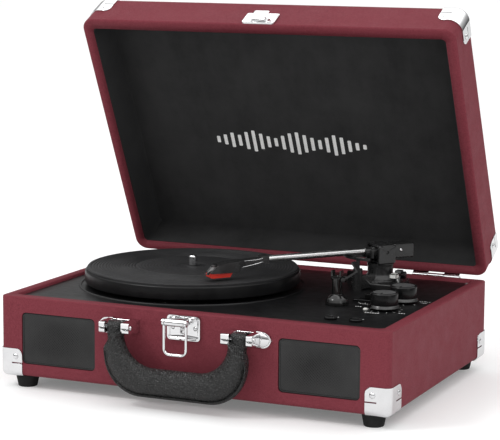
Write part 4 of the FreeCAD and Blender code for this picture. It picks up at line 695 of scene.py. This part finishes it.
def make_knob(node_name):
    """A softly dished black cap with a lighter grey disc and a pointer line on top, over a dark flared skirt; the
    disc's grey is painted light for the overhead light falling on the knob's top.
    """
    low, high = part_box(node_name)
    centre, flare = mid(node_name), (high.x - low.x) / 2
    top, r = high.z, flare - 1.3 * MM
    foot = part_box("deck_plate")[1].z - 0.2 * MM
    body = frame_body(node_name)
    waist = foot + 3.6 * MM
    skirt = [(r - 2.0 * MM, foot + 0.5 * MM), (flare - 0.6 * MM, foot + 0.5 * MM), (flare, foot + 0.9 * MM),
             (flare, foot + 1.4 * MM), (flare - 0.3 * MM, foot + 1.9 * MM), (r + 0.45 * MM, waist - 0.3 * MM),
             (r + 0.2 * MM, waist), (r - 2.0 * MM, waist)]
    bm = bmesh.new()
    lathe(bm, skirt + skirt[:1], centre, 128)
    add_piece(node_name + "_skirt", bm, SATIN, body, (), 30.0)
    cap = [(0.0, waist + 0.1 * MM), (r - 0.5 * MM, waist + 0.1 * MM), (r, waist + 0.5 * MM),
           (r, waist + 3.0 * MM), (r - 0.1 * MM, top - 1.5 * MM), (r - 0.35 * MM, top - 0.7 * MM),
           (r - 0.9 * MM, top - 0.2 * MM), (r - 1.5 * MM, top), (r - 1.9 * MM, top),
           (r - 2.4 * MM, top - 0.25 * MM), (r * 0.4, top - 0.5 * MM), (0.0, top - 0.55 * MM)]
    bm = bmesh.new()
    lathe(bm, cap, centre, 128)
    add_piece(node_name + "_body", bm, KNOB_BLACK, body, [node_name], 38.0)
    # Painted light: this top disc is a lighter grey than the black cap, for the overhead light falling on the
    # knob's top.
    disc = [(0.0, top - 0.62 * MM), (r - 2.3 * MM, top - 0.30 * MM), (r - 2.45 * MM, top - 0.14 * MM),
            (r * 0.4, top - 0.40 * MM), (0.0, top - 0.45 * MM)]
    bm = bmesh.new()
    lathe(bm, disc, centre, 96)
    add_piece(node_name + "_disc", bm, PAINTED_LIT_KNOB_FACE, body, (), 30.0)
    bm = bmesh.new()
    bmesh.ops.create_cube(bm, size=1.0)
    bmesh.ops.scale(bm, verts=bm.verts, vec=(0.9 * MM, 4.6 * MM, 0.5 * MM))
    bmesh.ops.translate(bm, verts=bm.verts, vec=(centre.x, centre.y - r + 4.6 * MM, top - 0.15 * MM))
    bmesh.ops.bevel(bm, geom=bm.edges[:], offset=0.15 * MM, segments=2, affect="EDGES")
    add_piece(node_name + "_pointer", bm, KNOB_BLACK, body, (), 40.0)


# ---- small parts of the arm ----------------------------------------------------------------------

def by_arm(x, y, z):
    """A point given in the arm's own directions (millimetres right of the tube, behind the pivot, up)."""
    pivot = Vector(JOINTS["arm_yaw"]["pos_m"])
    c, s = math.cos(ARM_TURN), math.sin(ARM_TURN)
    return Vector((pivot.x + (x * c - y * s) * MM, pivot.y + (x * s + y * c) * MM, z * MM))


def small_dome(bm, place, facing, radius, height):
    """A low round head on a flat face."""
    facing = facing.normalized()
    across = facing.orthogonal().normalized()
    other = facing.cross(across)
    rings = []
    for share, rise in ((1.0, -0.2), (1.0, 0.35), (0.8, 0.75), (0.45, 0.95), (0.02, 1.0)):
        middle, reach = place + facing * (rise * height), radius * share
        rings.append([middle + (across * math.cos(a) + other * math.sin(a)) * reach
                      for a in (math.tau * k / 20 for k in range(20))])
    skin_rings(bm, rings)


def make_arm_details():
    """The pickup's fine leads along the shell's neck, the weight's screw, and the cue lever's pale tip."""
    leads = bmesh.new()
    for x in (4.45, -4.45):
        for near_z, far_z in ((109.4, 106.6), (112.6, 112.0)):
            points = [by_arm(x * 0.9, -121.9, near_z + 0.6), by_arm(x, -124.5, near_z),
                      by_arm(x, -134.0, (near_z + far_z) / 2 - 0.3), by_arm(x, -143.5, far_z),
                      by_arm(x * 0.9, -146.5, far_z)]
            tube_along(leads, curve_points(points, 6), 0.28 * MM, 8)
    add_piece("pickup_leads", leads, CHROME, frame_body("headshell"), (), 60.0)
    screws = bmesh.new()
    right = by_arm(1, 0, 0) - by_arm(0, 0, 0)
    small_dome(screws, by_arm(8.6, 16.0, 111.5), right, 1.5 * MM, 0.9 * MM)
    add_piece("weight_screw", screws, CHROME, frame_body("counterweight"), (), 40.0)
    low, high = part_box("cue_lever")
    tip = bmesh.new()
    bmesh.ops.create_cube(tip, size=1.0)
    bmesh.ops.scale(tip, verts=tip.verts, vec=(6.6 * MM, 6.9 * MM, 4.8 * MM))
    bmesh.ops.bevel(tip, geom=tip.edges[:], offset=0.9 * MM, segments=3, affect="EDGES")
    bmesh.ops.translate(tip, verts=tip.verts, vec=(high.x - 3.1 * MM, low.y + 3.25 * MM, high.z - 2.2 * MM))
    add_piece("cue_tip", tip, PALE_LENS, frame_body("cue_lever"), (), 40.0)


def make_deck_print():
    """Plain printed marks: tick rings round the knobs and short bars by the sockets and switches."""
    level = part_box("panel_screws")[1].z - 1.0 * MM + 0.06 * MM
    bm = bmesh.new()

    def bar(x, y, w, h, turn=0.0):
        c, s = math.cos(turn), math.sin(turn)
        corners = [(-w / 2, -h / 2), (w / 2, -h / 2), (w / 2, h / 2), (-w / 2, h / 2)]
        bm.faces.new([bm.verts.new((x + px * c - py * s, y + px * s + py * c, level)) for px, py in corners])

    for name, first, last, count in (("volume_knob", -225, 45, 11), ("source_knob", -150, -30, 4)):
        centre = mid(name)
        for i in range(count):
            a = math.radians(first + (last - first) * i / (count - 1))
            reach = 14.6 * MM
            bar(centre.x + reach * math.cos(a), centre.y + reach * math.sin(a), 2.2 * MM, 0.6 * MM, a)

    def label(x, y, widths, h=1.6):
        """A row of short blocks of the given widths, as a printed word looks from a step away."""
        at = x - (sum(widths) + 0.7 * (len(widths) - 1)) / 2
        for width in widths:
            bar((at + width / 2) * MM, y * MM, width * MM, h * MM)
            at += width + 0.7

    volume, source = mid("volume_knob") / MM, mid("source_knob") / MM
    label(volume.x - 4.0, volume.y - 19.5, (1.6, 1.6, 1.2, 1.6, 1.8, 1.4), 2.0)
    label(volume.x - 24.0, volume.y + 1.5, (1.4, 1.4, 1.4))
    label(volume.x + 19.5, volume.y - 11.0, (1.4, 1.6, 1.2))
    label(source.x - 17.5, source.y + 8.5, (1.2, 1.4, 1.6, 1.2))
    label(source.x - 20.0, source.y + 0.5, (1.6, 1.2, 1.4))
    label(source.x + 16.5, source.y + 9.0, (1.4, 1.2, 1.6, 1.4, 1.2))
    label(source.x + 17.5, source.y + 2.5, (1.2, 1.6, 1.4))
    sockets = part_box("audio_jacks")
    for x in (sockets[0].x + 5.5 * MM, sockets[1].x - 5.5 * MM):
        label(x / MM, sockets[1].y / MM + 4.0, (1.2, 1.6, 1.4, 1.2))
    switch = mid("speed_slider")
    for dx in (-6.0, 0.0, 6.0):
        bar(switch.x + dx * MM, switch.y - 9.5 * MM, 0.8 * MM, 2.4 * MM)
    label(switch.x / MM, switch.y / MM - 13.5, (1.4, 1.2, 1.6, 1.4))
    add_piece("deck_print", bm, WHITE_INK, "case", (), 30.0)


# ---- camera, light and floor --------------------------------------------------------------------

def make_camera():
    """A long lens, rolled, dipped and turned from a level look straight back."""
    camera = bpy.data.objects.new("camera", bpy.data.cameras.new("camera"))
    bpy.context.scene.collection.objects.link(camera)
    camera.data.sensor_width, camera.data.lens = CAMERA_SENSOR, CAMERA_LENS
    camera.data.clip_start, camera.data.clip_end = 0.1, 50.0
    place = CAMERA_PLACE + Vector((0.0, mid("base_shell").y, 0.0))
    heading = Matrix.Rotation(CAMERA_HEADING, 4, "Z")
    dip = Matrix.Rotation(math.pi / 2 - CAMERA_DIP, 4, "X")
    camera.matrix_world = Matrix.Translation(place) @ heading @ dip @ Matrix.Rotation(CAMERA_ROLL, 4, "Z")
    bpy.context.scene.camera = camera


def area_light(name, place, target, size, power):
    light = bpy.data.lights.new(name, "AREA")
    light.shape = "RECTANGLE"
    light.size, light.size_y = size
    light.energy = power
    holder = bpy.data.objects.new(name, light)
    bpy.context.scene.collection.objects.link(holder)
    holder.location = place
    holder.rotation_euler = (Vector(target) - Vector(place)).to_track_quat("-Z", "Y").to_euler()


def sky_tone(tree, stops):
    """A grey that changes with the height of the direction looked in, from straight down to straight up."""
    new, link = tree.nodes.new, tree.links.new
    split = new("ShaderNodeSeparateXYZ")
    link(new("ShaderNodeTexCoord").outputs["Generated"], split.inputs[0])
    height = new("ShaderNodeMapRange")
    height.inputs["From Min"].default_value = -1.0
    link(split.outputs["Z"], height.inputs["Value"])
    ramp = new("ShaderNodeValToRGB")
    link(height.outputs["Result"], ramp.inputs["Fac"])
    elements = ramp.color_ramp.elements
    while len(elements) < len(stops):
        elements.new(0.5)
    for element, (place, tone) in zip(elements, stops):
        element.position = place
        element.color = (tone, tone, tone, 1.0)
    return ramp.outputs["Color"]


def make_world():
    """An even pale surround. Gloss sees it dark low down instead, which gives the metal its dark bands."""
    world = bpy.data.worlds.new("studio")
    bpy.context.scene.world = world
    world.use_nodes = True
    tree = world.node_tree
    soft = sky_tone(tree, ((0.0, 0.5), (0.5, 0.5), (0.7, 0.555), (1.0, 0.555)))
    carded = sky_tone(tree, ((0.0, 0.04), (0.52, 0.04), (0.60, 0.16), (0.70, 0.30), (0.82, 0.90), (1.0, 1.0)))
    mix = tree.nodes.new("ShaderNodeMix")
    mix.data_type = "RGBA"
    tree.links.new(tree.nodes.new("ShaderNodeLightPath").outputs["Is Glossy Ray"], mix.inputs["Factor"])
    tree.links.new(soft, mix.inputs[6])
    tree.links.new(carded, mix.inputs[7])
    background = tree.nodes["Background"]
    tree.links.new(mix.outputs[2], background.inputs["Color"])
    background.inputs["Strength"].default_value = 1.75


def make_floor():
    """A pale floor with a faint glow, out to the horizon. Gloss sees it greyer, and without the glow."""
    half = 40.0
    mesh = bpy.data.meshes.new("floor")
    corners = [(-half, -half, 0), (half, -half, 0), (half, half, 0), (-half, half, 0)]
    mesh.from_pydata(corners, [], [(0, 1, 2, 3)])
    floor = bpy.data.objects.new("floor", mesh)
    bpy.context.scene.collection.objects.link(floor)
    pale = Surface("floor", Roughness=0.7, **{"Specular IOR Level": 0.1, "Emission Strength": 0.16})
    glossy = pale.add("ShaderNodeLightPath").outputs["Is Glossy Ray"]
    tone = pale.ramp(pale.noise(3.0, 2.0), [(0.3, (0.87, 0.87, 0.87)), (0.7, (0.90, 0.90, 0.90))])
    pale.colour(pale.blend(glossy, tone, (0.78, 0.78, 0.78)))
    glow = pale.blend(glossy, (1.0, 1.0, 1.0), (0.0, 0.0, 0.0))
    pale.tree.links.new(glow, pale.shader.inputs["Emission Color"])
    mesh.materials.append(pale.material)


def studio():
    """Soft light all round, with three lamps: front left, low right and above."""
    make_world()
    make_floor()
    aim = (0.0, 0.0, 0.12)
    area_light("key", (-1.1, -1.2, 1.9), aim, (0.5, 0.5), 13.0)
    area_light("fill", (1.9, -0.9, 0.8), aim, (0.7, 1.2), 2.0)
    area_light("top", (0.1, 0.25, 2.0), aim, (1.6, 1.0), 4.5)
    bpy.context.scene.view_settings.view_transform = "Standard"


# ---- the whole scene ----------------------------------------------------------------------------

def make_skins():
    """A welded, smoothly shaded copy of each CAD node that has no piece of its own above."""
    reworked = "handle speaker_grilles platter_mat volume_knob source_knob".split()
    skins = []
    for finish, names in FINISHES.items():
        for node_name in names.split():
            if node_name not in reworked:
                skins.append(welded_copy(node_name, finish))
    settle_shading(skins)


make_skins()
make_handle()
make_grilles()
make_liner_mark()
make_mat()
make_knob("volume_knob")
make_knob("source_knob")
make_bracket_noses()
make_arm_details()
make_deck_print()
make_camera()
studio()
